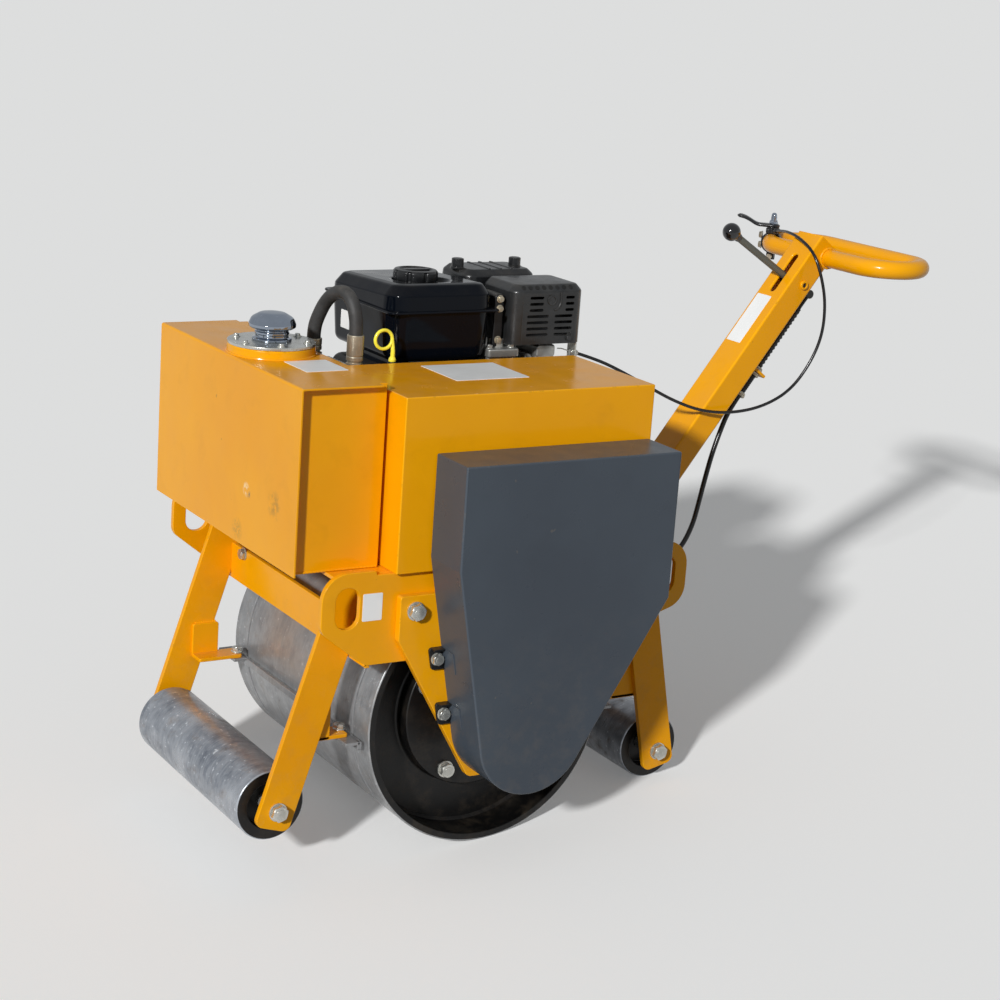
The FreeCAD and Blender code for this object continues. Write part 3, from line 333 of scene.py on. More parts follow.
def tube(path, radius, closed=False, sides=24):
    """Round bar along a path: point = path(j) + radius(j) * (across cos t + beside sin t); its ends are rounded off."""
    path = np.asarray(path, float)
    radius = np.broadcast_to(np.asarray(radius, float), len(path)).copy()
    if not closed:
        r0, r1 = radius[0], radius[-1]
        d0 = (path[0] - path[1]) / np.linalg.norm(path[0] - path[1])
        d1 = (path[-1] - path[-2]) / np.linalg.norm(path[-1] - path[-2])
        lead = min(1.2, r0 * 0.25)
        path = np.concatenate([[path[0], path[0], path[0] - d0 * lead], path[1:-1],
                               [path[-1] - d1 * lead, path[-1], path[-1]]])
        radius = np.concatenate([[0, r0 - lead, r0], radius[1:-1], [r1, r1 - lead, 0]])
        inner = path.copy()
        inner[0] = path[0] + d0 * 1e-3
        inner[-1] = path[-1] + d1 * 1e-3
        across, beside = frames(inner)
    else:
        across, beside = frames(path, True)
    n = len(path)
    if closed:
        lost = atan2(float(np.dot(across[-1], beside[0])), float(np.dot(across[-1], across[0])))
        extra = -lost * np.arange(n) / n
    else:
        extra = np.zeros(n)
    angle = (turns(sides)[None] + extra[:, None])[..., None]
    spoke = across[:, None] * np.cos(angle) + beside[:, None] * np.sin(angle)
    points = path[:, None] + radius[:, None, None] * spoke
    quads = grid_quads(n, sides, True, closed)
    tris = None
    if not closed:
        tris = np.concatenate([fan(0, sides, sides, True), fan((n - 1) * sides, (n - 2) * sides, sides)])
        quads = quads[sides:-sides]
    return shape(points.reshape(-1, 3), quads, tris)


def line_points(a, b, count):
    """Points spaced evenly along a straight line."""
    a, b = np.asarray(a, float), np.asarray(b, float)
    return a + (b - a) * np.linspace(0, 1, count)[:, None]


def weld(a, b, radius=3.2, pitch=4.0):
    """Weld bead: a bar whose radius swells and shrinks along the seam, by a sine and a slower sine."""
    length = float(np.linalg.norm(np.asarray(b, float) - np.asarray(a, float)))
    count = max(8, int(length / pitch * 4))
    s = np.linspace(0, length, count)
    r = radius * (1 + 0.16 * np.sin(2 * pi * s / pitch) + 0.10 * np.sin(s / 17.0 + 1.0))
    return tube(line_points(a, b, count), r, sides=10)


def hex_head(at, axis, flats, height, turn_by=0.0):
    """Bolt head: radius = half the flats / cos(angle to the nearest flat), its top rim cut by a cone of 30 degrees."""
    a, e1, e2 = basis(axis)
    around = 48
    t = turns(around)
    r = flats / 2 / np.cos((t % (pi / 3)) - pi / 6)
    round_r = flats / 2 * 0.985
    fall = np.maximum(0, r - round_r) * 0.577 + 0.25
    radii = [r * 0, r * 0.97, r, r, np.minimum(r, round_r), r * 0]
    heights = [r * 0, r * 0, r * 0 + 0.4, height - fall, r * 0 + height, r * 0 + height]
    t = t + turn_by
    ring = e1 * np.cos(t)[:, None] + e2 * np.sin(t)[:, None]
    points = np.concatenate([np.asarray(at, float) + ring * rr[:, None] + a * hh[:, None] for rr,
                             hh in zip(radii, heights)])
    quads = grid_quads(len(radii), around, True)
    tris = np.concatenate([fan(0, around, around, True), fan(5 * around, 4 * around, around)])
    wear = np.repeat([0, 0.4, 0.4, 0.8, 0.8, 0], around)
    return shape(points, quads[around:-around], tris, wear)


def washer(at, axis, radius, thick):
    """Flat washer with its rims softened."""
    return lathe([(0, 0), (radius, 0, 0.6), (radius, thick, 0.8), (0, thick)], at, axis, 40, 2)


def bolt(at, axis, flats=24.0, height=10.0, washer_r=15.0, washer_t=3.0, turn_by=0.3):
    """Washer and hexagonal head with a low dome in its middle."""
    a = np.asarray(axis, float) / np.linalg.norm(axis)
    top = np.asarray(at, float) + a * washer_t
    dome = lathe([(0, -1.2), (flats * 0.33, -1.2), (flats * 0.31, -0.2, 0.3), (0, 0)], top + a * height, axis, 24, 2)
    return joined(washer(at, axis, washer_r, washer_t), hex_head(top, axis, flats, height - 0.7, turn_by), dome)


def nut_ring(at, axis, flats, height, turn_by=0.2):
    """Hexagonal nut: a bolt head chamfered on both faces."""
    a = np.asarray(axis, float) / np.linalg.norm(axis)
    middle = np.asarray(at, float) + a * height / 2
    return joined(hex_head(middle, a, flats, height / 2, turn_by), hex_head(middle, -a, flats, height / 2, turn_by))


def tower(x, y, rows, corner, steps=6, soft_steps=4, low_cap=True, high_cap=True):
    """Upright body of rounded rectangles. Rows of (inset, height, softness) are rounded into a profile; the corner
    radius shrinks by the inset, and point(k, j) = corner centre(k, j) + radius(j) * (cos t, sin t) at height(j)."""
    line = arcs(rows, soft_steps, closed=False)
    inset, height = line[:, 0], line[:, 1]
    radius = np.maximum(corner - inset, 0.5)
    side_x = np.array((1, -1, -1, 1)).repeat(steps + 1)
    side_y = np.array((1, 1, -1, -1)).repeat(steps + 1)
    angle = (np.arange(4)[:, None] * pi / 2 + np.linspace(0, pi / 2, steps + 1)[None]).ravel()
    middle = np.array(((x[0] + x[1]) / 2, (y[0] + y[1]) / 2))
    half = np.array(((x[1] - x[0]) / 2, (y[1] - y[0]) / 2))
    px = middle[0] + side_x[None] * (half[0] - inset - radius)[:, None] + radius[:, None] * np.cos(angle)[None]
    py = middle[1] + side_y[None] * (half[1] - inset - radius)[:, None] + radius[:, None] * np.sin(angle)[None]
    pz = np.broadcast_to(height[:, None], px.shape)
    points = np.stack([px, py, pz], -1).reshape(-1, 3)
    around = len(angle)
    quads = grid_quads(len(line), around, True)
    tris = []
    if low_cap:
        tris.append(fan(len(points), 0, around, True))
        points = np.concatenate([points, [[*middle, height[0]]]])
    if high_cap:
        tris.append(fan(len(points), (len(line) - 1) * around, around))
        points = np.concatenate([points, [[*middle, height[-1]]]])
    wear = np.zeros(len(points))
    wear[:len(line) * around] = np.repeat(bends(line), around)
    return shape(points, quads, np.concatenate(tris) if tris else None, wear)


def tray(loop, low, high, wall, soft):
    """Open shell of folded sheet: an outer and an inner plate of the same outline, and the narrow rim between."""
    if signed_area(loop) < 0:
        loop = loop[::-1]
    inner = loop - mitres(loop) * wall
    skin = slab(loop, low, high, "y", (0, soft), turn=4, open_low=True)
    p, q, t, w = slab(inner, low, high - wall, "y", (0, 0.4), turn=2, open_low=True)
    edge = np.concatenate([loop, inner])
    rim_points = np.column_stack([edge[:, 0], np.full(len(edge), low), edge[:, 1]])
    rim_tris = caps([loop, inner], True)[:, ::-1]
    return joined(skin, (p, q[:, ::-1], t[:, ::-1], w), shape(rim_points, None, rim_tris))


def ball(centre, radius, axis=(0, 0, 1), steps=48):
    """Sphere as a turned half circle."""
    t = np.linspace(0, pi, steps // 2 + 1)
    profile = [(float(radius * sin(a)) if 0 < k < len(t) - 1 else 0.0, float(-radius * cos(a))) for k,
               a in enumerate(t)]
    return lathe(profile, centre, axis, steps, 0)


def strap(stations, thick, lift, sides=20):
    """Flat bar of changing width: section(j) is a superellipse of half width(j) and half the thickness, at
    x(j), height lift(x(j)). Stations are rows of (x, middle, half width)."""
    x, middle, half = np.asarray(stations, float).T
    fine = np.linspace(x[0], x[-1], 40)
    swell = np.interp(fine, x, half)
    swell = np.convolve(np.pad(swell, 2, "edge"), np.ones(5) / 5, "valid")
    end = np.minimum(fine - x[0], x[-1] - fine)
    swell = swell * np.sqrt(np.clip(1 - (1 - np.clip(end / 9, 0, 1)) ** 2, 0.02, 1))
    flat = np.interp(fine, x, middle)
    c, s = np.cos(turns(sides)), np.sin(turns(sides))
    wide = np.sign(c) * np.abs(c) ** 0.6
    tall = np.sign(s) * np.abs(s) ** 0.8
    across = flat[:, None] + swell[:, None] * wide[None]
    up = lift(fine)[:, None] + thick / 2 * (1 + tall[None] * np.minimum(1, 0.35 + end / 6)[:, None])
    points = np.stack([np.broadcast_to(fine[:, None], across.shape), across, up], -1).reshape(-1, 3)
    quads = grid_quads(len(fine), sides, True)
    base = (len(fine) - 1) * sides
    points = np.concatenate([points, [points[:sides].mean(0), points[base:base + sides].mean(0)]])
    tris = np.concatenate([fan(len(points) - 2, 0, sides, True), fan(len(points) - 1, base, sides)])
    return shape(points, quads, tris)


# Finishes


class Finish:
    """A node material on Object coordinates, built with few words."""

    def __init__(self, name):
        self.material = bpy.data.materials.new(name)
        self.material.use_nodes = True
        self.tree = self.material.node_tree
        self.shader = self.tree.nodes["Principled BSDF"]
        self.place = self.add("ShaderNodeTexCoord").outputs["Object"]

    def add(self, kind, inputs=(), **settings):
        n = self.tree.nodes.new(kind)
        for key, value in settings.items():
            setattr(n, key, value)
        for key, value in dict(inputs).items():
            self.feed(n.inputs[key], value)
        return n

    def feed(self, socket, value):
        if isinstance(value, bpy.types.NodeSocket):
            self.tree.links.new(value, socket)
        else:
            socket.default_value = value

    def mapped(self, scale=(1, 1, 1), turn=(0, 0, 0), at=(0, 0, 0)):
        return self.add("ShaderNodeMapping", {"Vector": self.place, "Location": at, "Rotation": turn,
                                              "Scale": scale}).outputs[0]

    def noise(self, scale, detail=4.0, rough=0.55, vector=None, warp=0.0):
        n = self.add("ShaderNodeTexNoise", {"Vector": vector or self.place, "Scale": scale, "Detail": detail,
                                            "Roughness": rough, "Distortion": warp})
        return n.outputs[0]

    def ramp(self, value, low, high, a=0.0, b=1.0):
        """Value brought from low..high to a..b, and held there."""
        n = self.add("ShaderNodeMapRange", {"Value": value, "From Min": low, "From Max": high, "To Min": a,
                                            "To Max": b})
        return n.outputs[0]

    def math(self, operation, a, b=0.0):
        n = self.add("ShaderNodeMath", operation=operation)
        self.feed(n.inputs[0], a)
        self.feed(n.inputs[1], b)
        return n.outputs[0]

    def mix(self, share, a, b, blend="MIX"):
        n = self.add("ShaderNodeMix", data_type="RGBA", blend_type=blend)
        self.feed(n.inputs[0], share)
        self.feed(n.inputs[6], a)
        self.feed(n.inputs[7], b)
        return n.outputs[2]

    def near(self, point, radius):
        """One at a level point, falling to nothing at a radius in millimetres."""
        place = tuple(float(c) for c in park(point))
        away = self.add("ShaderNodeVectorMath", {0: self.place, 1: place}, operation="DISTANCE").outputs["Value"]
        return self.ramp(away, radius / 1000, radius / 3000)

    def wear(self):
        return self.add("ShaderNodeAttribute", attribute_name="wear").outputs["Fac"]

    def facing_up(self):
        normal = self.add("ShaderNodeNewGeometry").outputs["Normal"]
        return self.add("ShaderNodeSeparateXYZ", {"Vector": normal}).outputs["Z"]

    def height(self):
        return self.add("ShaderNodeSeparateXYZ", {"Vector": self.place}).outputs["Z"]

    def bump(self, value, strength, distance=0.001, under=None):
        inputs = {"Height": value, "Strength": strength, "Distance": distance}
        if under is not None:
            inputs["Normal"] = under
        return self.add("ShaderNodeBump", inputs).outputs[0]

    def done(self, colour, rough, bump, metal=0.0, **constants):
        self.feed(self.shader.inputs["Base Color"], colour)
        self.feed(self.shader.inputs["Roughness"], rough)
        self.feed(self.shader.inputs["Normal"], bump)
        self.feed(self.shader.inputs["Metallic"], metal)
        for key, value in constants.items():
            self.shader.inputs[key.replace("_", " ")].default_value = value
        return self.material


def tone(r, g, b):
    """A colour as a screen shows it, 0 to 255, brought to the shader's linear values."""
    c = np.array((r, g, b)) / 255
    lin = np.where(c <= 0.04045, c / 12.92, ((c + 0.055) / 1.055) ** 2.4)
    return (*lin.tolist(), 1.0)


def paint(name, colour, deep, rough, chip, dust=0.15, chips=0.3, grain=0.25, scratch=0.3, soil=0.3, coat=0.3,
          spots=(), wavy=0.35, shine=0.5):
    """Sprayed paint on sheet metal: a slow drift of colour, orange peel, a faint waviness, fine scratches, dust on
    what faces up, soil near the ground, and small chips down to the metal along worn edges. Spots are rows of
    (level point, radius, colour) rubbed through to another colour."""
    f = Finish(name)
    drift = f.ramp(f.noise(3.5, 3.0), 0.35, 0.65)
    base = f.mix(drift, tone(*colour), tone(*deep))
    blotch = f.ramp(f.noise(17.0, 5.0, 0.6, warp=0.4), 0.55, 0.75, 0.0, 0.16)
    base = f.mix(blotch, base, tone(*[c * 0.82 for c in deep]))
    lines = f.noise(9.0, 3.0, 0.7, f.mapped((4, 6, 60), (0.3, 0.5, 0.2)))
    lines_two = f.noise(8.0, 3.0, 0.7, f.mapped((70, 5, 6), (0.1, 0.9, 0.6)))
    cut = f.math("MAXIMUM", f.ramp(lines, 0.72, 0.74), f.ramp(lines_two, 0.725, 0.745))
    base = f.mix(f.math("MULTIPLY", cut, 0.35 * scratch), base, tone(*[min(255, c * 0.8 + 50) for c in colour]))
    up = f.ramp(f.facing_up(), 0.35, 0.95)
    settled = f.math("MULTIPLY", f.ramp(f.noise(14.0, 6.0, 0.65), 0.42, 0.72), up)
    powder = f.math("MULTIPLY", settled, dust)
    base = f.mix(powder, base, tone(168, 156, 138))
    low = f.ramp(f.height(), 0.45, 0.02)
    splash = f.math("MULTIPLY", f.ramp(f.noise(31.0, 6.0, 0.7), 0.47, 0.66), low)
    splash = f.math("MULTIPLY", splash, soil)
    base = f.mix(splash, base, tone(138, 122, 102))
    for point, radius, colour_there in spots:
        rubbed = f.math("MULTIPLY", f.near(point, radius), f.ramp(f.noise(85.0, 5.0, 0.7), 0.44, 0.56))
        base = f.mix(rubbed, base, tone(*colour_there))
    bare = f.math("MULTIPLY", f.wear(), f.ramp(f.noise(60.0, 4.0, 0.7), 0.60, 0.64))
    spot = f.ramp(f.noise(46.0, 2.0, 0.5), 0.775, 0.785)
    bare = f.math("MULTIPLY", f.math("MAXIMUM", bare, spot), chips)
    base = f.mix(bare, base, tone(*chip))
    edge = f.math("MULTIPLY", f.wear(), 0.14)
    base = f.mix(edge, base, tone(*[min(255, c * 1.1 + 22) for c in colour]))
    r = f.math("ADD", f.ramp(f.noise(26.0, 4.0), 0.3, 0.7, rough - 0.04, rough + 0.06),
               f.math("MULTIPLY", f.math("MAXIMUM", powder, splash), 0.5))
    sheet = f.bump(f.noise(9.0, 2.0), wavy, 0.004)
    peel = f.bump(f.noise(380.0, 2.0), grain * 0.2, 0.0005, sheet)
    relief = f.bump(f.math("MULTIPLY", bare, -1.0), 0.5, 0.0004, peel)
    return f.done(base, r, relief, f.math("MULTIPLY", bare, 0.3), IOR=1.45, Coat_Weight=coat, Coat_Roughness=0.06,
                  Specular_IOR_Level=shine)


def steel(name, colour, deep, rust, rough, metal=0.85, along=(1, 14, 1), rusty=0.35, grain=0.4, streak=0.5, cloudy=1.0,
          flecks=0.0):
    """Bare steel: mill scale in clouds of two sizes, faint streaks along the rolling direction, stains of rust,
    scuffs brightened by the ground, bright flecks, and shallow dents."""
    f = Finish(name)
    streaks = f.noise(18.0, 6.0, 0.65, f.mapped(along))
    scale_big = f.ramp(f.noise(6.0, 6.0, 0.62, warp=0.9), 0.40, 0.60)
    scale_small = f.ramp(f.noise(27.0, 5.0, 0.65, warp=0.5), 0.42, 0.62)
    share = f.math("ADD", f.math("MULTIPLY", scale_big, 0.6 * cloudy), f.math("MULTIPLY", scale_small, 0.4 * cloudy))
    share = f.math("ADD", share, f.math("MULTIPLY", f.ramp(streaks, 0.3, 0.7, -0.5, 0.5), streak))
    share = f.ramp(share, 0.0, 1.0)
    base = f.mix(share, tone(*colour), tone(*deep))
    scuff = f.ramp(f.noise(40.0, 6.0, 0.75, f.mapped((1, 4, 1), (0.2, 0.1, 0.0))), 0.60, 0.72, 0.0, 0.5)
    base = f.mix(scuff, base, tone(*[min(255, c * 1.25 + 12) for c in colour]))
    fleck = f.ramp(f.noise(120.0, 3.0, 0.6), 0.655, 0.675, 0.0, flecks)
    base = f.mix(fleck, base, tone(222, 226, 230))
    stain = f.math("MULTIPLY", f.ramp(f.noise(34.0, 7.0, 0.72, warp=0.5), 0.54, 0.68), rusty)
    base = f.mix(stain, base, tone(*rust))
    edge = f.math("MULTIPLY", f.wear(), f.ramp(f.noise(60.0, 3.0), 0.35, 0.6))
    base = f.mix(f.math("MULTIPLY", edge, 0.5), base, tone(*[min(255, c * 1.25) for c in colour]))
    r = f.math("ADD", f.ramp(share, 0.0, 1.0, rough - 0.07, rough + 0.10), f.math("MULTIPLY", stain, 0.4))
    dents = f.bump(f.noise(11.0, 3.0), 0.35 * grain, 0.003)
    fine = f.bump(streaks, grain * 0.3 * streak, 0.0006, dents)
    pits = f.bump(f.noise(190.0, 4.0, 0.7), grain * 0.4, 0.0004, fine)
    m = f.ramp(stain, 0.0, 0.6, metal, metal * 0.3)
    return f.done(base, r, pits, m)


def rubber(name, colour, rough, dust=0.2, grain=0.4, scuffs=1.0, coat=0.0):
    """Rubber or moulded plastic: fine pebbled grain, paler scuffs, dust on what faces up."""
    f = Finish(name)
    base = f.mix(f.ramp(f.noise(30.0, 5.0, 0.6), 0.4, 0.7), tone(*colour),
                 tone(*[min(255, c * 1.25 + 4) for c in colour]))
    scuff = f.ramp(f.noise(60.0, 6.0, 0.75, f.mapped((1, 1, 5), (0.4, 0.2, 0.9))), 0.64, 0.76, 0, 0.25 * scuffs)
    base = f.mix(scuff, base, tone(*[min(255, c + 55) for c in colour]))
    up = f.ramp(f.facing_up(), 0.2, 0.95)
    powder = f.math("MULTIPLY", f.math("MULTIPLY", f.ramp(f.noise(25.0, 6.0, 0.7), 0.42, 0.7), up), dust)
    base = f.mix(powder, base, tone(160, 150, 136))
    worn = f.math("MULTIPLY", f.wear(), f.ramp(f.noise(80.0, 3.0), 0.45, 0.6, 0, 0.35))
    base = f.mix(worn, base, tone(*[min(255, c + 50) for c in colour]))
    r = f.math("ADD", f.ramp(f.noise(50.0, 4.0), 0.3, 0.7, rough - 0.03, rough + 0.07),
               f.math("MULTIPLY", powder, 0.35))
    pebble = f.bump(f.noise(520.0, 2.0), grain * 0.5, 0.0004)
    relief = f.bump(f.noise(75.0, 3.0), grain * 0.25, 0.0008, pebble)
    return f.done(base, r, relief, 0.0, IOR=1.46, Coat_Weight=coat, Coat_Roughness=0.08)


def make_finishes():
    """Every finish of the machine, by name."""
    rust = (104, 82, 64)
    all_ways = (1, 1, 1)
    rubbed = [((360, 88, 570), 13.0, (255, 238, 196)), ((360, 96, 566), 9.0, (120, 100, 76)),
              ((360, 189, 571), 26.0, (198, 138, 26)), ((360, 60, 500), 22.0, (205, 146, 30))]
    yellow, deep = (243, 168, 4), (238, 160, 2)
    return {
        "yellow_paint": paint("yellow_paint", yellow, deep, 0.20, (120, 84, 40), dust=0.12, coat=0.04, shine=0.22),
        "tank_paint": paint("tank_paint", yellow, deep, 0.20, (120, 84, 40), dust=0.12, spots=rubbed, coat=0.04,
                            shine=0.22),
        "yellow_worn": paint("yellow_worn", yellow, (236, 157, 3), 0.26, (112, 84, 50), dust=0.15, chips=0.5, soil=0.2,
                             coat=0.0, shine=0.2),
        "grey_paint": paint("grey_paint", (70, 78, 87), (64, 71, 80), 0.30, (120, 112, 100), dust=0.12, soil=0.15,
                            scratch=0.2, coat=0.0, shine=0.3),
        # The black paint's blue tint is partly painted reflection, standing for a blue sky mirrored in the glossy tank;
        # the rest is the paint's own near-black.
        "black_paint": paint("black_paint", (9, 13, 21), (6, 10, 17), 0.10, (60, 58, 56), dust=0.03, chips=0.1,
                             soil=0.04, scratch=0.15, coat=0.0, shine=0.15),
        "engine_black": paint("engine_black", (22, 23, 25), (15, 16, 18), 0.38, (80, 76, 70), dust=0.15, soil=0.1,
                              coat=0.0, shine=0.4),
        "drum_black": paint("drum_black", (11, 10, 10), (7, 7, 7), 0.36, (60, 48, 36), dust=0.05, soil=0.08, chips=0.3,
                            coat=0.0, shine=0.4),
        "worn_steel": steel("worn_steel", (154, 155, 156), (114, 116, 119), (124, 110, 90), 0.36, 0.5, rusty=0.38,
                            cloudy=0.8, flecks=0.35),
        "roller_steel": steel("roller_steel", (170, 174, 180), (112, 118, 128), (100, 82, 62), 0.33, 0.55, rusty=0.5,
                              cloudy=1.0, flecks=0.8),
        "zinc": steel("zinc", (196, 196, 190), (150, 150, 142), (140, 122, 92), 0.28, 0.8, all_ways, 0.2, 0.25, 0.2,
                      0.6),
        "ferrule_steel": steel("ferrule_steel", (176, 168, 150), (128, 120, 104), (104, 86, 62), 0.32, 0.7,
                               (12, 12, 1), 0.25, 0.3, 0.5, 0.6),
        "chrome": steel("chrome", (158, 167, 180), (140, 149, 163), (120, 112, 102), 0.06, 1.0, all_ways, 0.05, 0.10,
                        0.1, 0.4),
        "cast_metal": steel("cast_metal", (176, 176, 172), (128, 128, 124), rust, 0.36, 0.7, all_ways, 0.15, 0.8, 0.2),
        "black_plastic": rubber("black_plastic", (15, 16, 18), 0.30, dust=0.08, coat=0.1),
        "knob_black": rubber("knob_black", (8, 8, 10), 0.08, dust=0.02, grain=0.05, scuffs=0.2, coat=0.6),
        "guard_black": rubber("guard_black", (30, 31, 32), 0.30, dust=0.10, grain=0.6, scuffs=0.6, coat=0.05),
        "yellow_plastic": rubber("yellow_plastic", (250, 230, 62), 0.26, dust=0.03, scuffs=0.0, coat=0.2),
        "hose_rubber": rubber("hose_rubber", (46, 46, 46), 0.55, dust=0.2, grain=1.0),
        "cable_jacket": rubber("cable_jacket", (15, 15, 17), 0.22, dust=0.05, grain=0.2),
        "lever_paint": paint("lever_paint", (104, 104, 94), (88, 88, 80), 0.34, (150, 146, 132), dust=0.1, chips=0.5,
                             coat=0.0),
        "plate_white": paint("plate_white", (243, 244, 243), (236, 237, 236), 0.36, (150, 146, 140), dust=0.12,
                             chips=0.1, soil=0.05, coat=0.0),
        # Painted shade: a near-black finish for slits, pits and gaps, standing for the shade inside them.
        "dark_inside": rubber("dark_inside", (6, 6, 6), 0.7, dust=0.04),
    }


finishes = {}


def emit(name, made, finish, body="frame", stands_for=(), sharp=32.0, sheet=0.0):
    """Puts a shape into a mesh object, parks it, hangs it on the empty of the body it rides on, and hides the imported
    parts it stands for.
    """
    points, quads, tris, wear = made
    mesh = bpy.data.meshes.new(name)
    mesh.from_pydata(park(points), [], quads.tolist() + tris.tolist())
    mesh.polygons.foreach_set("use_smooth", np.ones(len(mesh.polygons), bool))
    mesh.attributes.new("wear", "FLOAT", "POINT").data.foreach_set("value", wear)
    mesh.set_sharp_from_angle(angle=radians(sharp))
    mesh.update()
    obj = bpy.data.objects.new(name, mesh)
    bpy.context.scene.collection.objects.link(obj)
    if sheet:
        folded = obj.modifiers.new("sheet thickness", "SOLIDIFY")
        folded.thickness = sheet / 1000
        folded.offset = -1
    level = obj.modifiers.new("flat faces stay flat", "WEIGHTED_NORMAL")
    level.keep_sharp = True
    mesh.materials.append(finishes[finish])
    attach(obj, body)
    if stands_for:
        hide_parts(*stands_for)
    return obj


# Sizes shared by the pieces, in level millimetres
side_y = (278.0, 288.0)
inside_y = (-side_y[0], side_y[0])
cross_z = (330.0, 391.0)
cross_front_x = (232.0, 240.0)
cross_rear_x = (-280.0, -272.0)
deck_z = (474.0, 480.0)
ear_y = (33.3, 41.3)
support_y = 302.0
eyes = (280.0, -297.0)
eye_z = 431.0
frame_top = deck_z[1]
arm_y = (217.0, 227.0)
arm_tilt = {"front": 17.5, "rear": 12.1}
bracket_inner_x = 262.0
scraper_z = 196.0
scraper_gap = 6.0
scraper_leg = 28.0
scraper_half_length = 242.0
hub_circle = 108.0
groove_inset = 52.0
housing_top = 751.0
tank_top = 764.0
tank_front_x = 360.0
tank_back_x = 213.0
filler_x = 286.0
cover_y = (302.3, 392.0)
cover_foot = (1.0, 229.0)
cover_foot_r = 95.0
foot = np.array((-357.6, 0, 400.0))
peak = np.array((-764.0, 0, 941.0))
column_length = float(np.linalg.norm(peak - foot))
along = (peak - foot) / column_length
down = np.array((-along[2], 0, along[0]))
column_half = 33.0
column_depth = 48.0
foot_bolts = [foot + along * reach + down * (column_depth / 2) for reach in (30.0, 84.0)]
ring_z = 900.0
ring_x = (-783.0, -909.0)
ring_bend = (ring_x[0] - ring_x[1]) / 2
ring_mid = (ring_x[0] + ring_x[1]) / 2
ring_straight = 174.0 - ring_bend
clamp_turn = radians(50.0)
seat = np.array((ring_mid + ring_bend * cos(clamp_turn), -ring_straight - ring_bend * sin(clamp_turn), ring_z))
cable_line = foot + along * (column_length - 257.0) + down * 67.0 + np.array((0, 10.0, 0))
cable_start = cable_line - along * 54.0
lever_turn = radians(32.0)
lever_axis = np.array((cos(lever_turn), 0, sin(lever_turn)))
lever_pivot = peak - along * 89.0 + down * 28.2
hose_ends = ((164.0, 47.0, 796.0), (188.5, -50.0, 774.0))
gland_end = (-302.0, 62.0, 360.0)
throttle_end = (-276.0, 12.0, 743.0)
throttle_before = (-314.0, 20.0, 732.0)


class RollerSizes(bpy.types.PropertyGroup):
    """Sizes that a user would change."""
    drum_radius: bpy.props.FloatProperty(name="Drum radius", description="Radius of the drum", default=DRUM_R / 1000,
                                         unit="LENGTH")
    drum_width: bpy.props.FloatProperty(name="Drum width", description="Width of the drum's shell", default=0.5,
                                        unit="LENGTH")
    roller_radius: bpy.props.FloatProperty(name="Roller radius", description="Radius of the two small rollers",
                                           default=0.057, unit="LENGTH")
    roller_width: bpy.props.FloatProperty(name="Roller width", description="Width of the two small rollers",
                                          default=0.4, unit="LENGTH")
    ring_tube: bpy.props.FloatProperty(name="Ring tube", description="Diameter of the handle ring's tube",
                                       default=0.032, unit="LENGTH")
    knob_radius: bpy.props.FloatProperty(name="Knob radius", description="Radius of the direction lever's ball",
                                         default=0.016, unit="LENGTH")


class RollerLook(bpy.types.PropertyGroup):
    """Colours and lights of the stage."""
    floor_tone: bpy.props.FloatVectorProperty(name="Floor", description="Colour of the floor", subtype="COLOR",
                                              default=(0.84, 0.84, 0.83), min=0, max=1)
    floor_glow: bpy.props.FloatProperty(
        name="Floor glow", description="Light that the floor seems to give to the camera", default=0.14, min=0)
    sun_strength: bpy.props.FloatProperty(name="Key light", description="Strength of the key light", default=3.15,
                                          min=0)
    sky_strength: bpy.props.FloatProperty(name="Fill light", description="Strength of the even light from all sides",
                                          default=0.22, min=0)
    backdrop: bpy.props.FloatProperty(name="Backdrop", description="Brightness of the backdrop as the camera sees it",
                                      default=0.5, min=0)


def sizes():
    return bpy.context.scene.roller_sizes


def both(s):
    """A shape and its copy on the other side."""
    return joined(s, other_side(s))


def on_column(s):
    """A shape drawn with x up the column, y across it and z into its depth, put in its place."""
    p, q, t, w = s
    placed = foot + p[:, :1] * along + p[:, 1:2] * np.array((0, 1.0, 0)) + p[:, 2:3] * down
    if float(np.dot(np.cross(along, (0, 1, 0)), down)) < 0:
        q, t = q[:, ::-1], t[:, ::-1]
    return placed, q, t, w


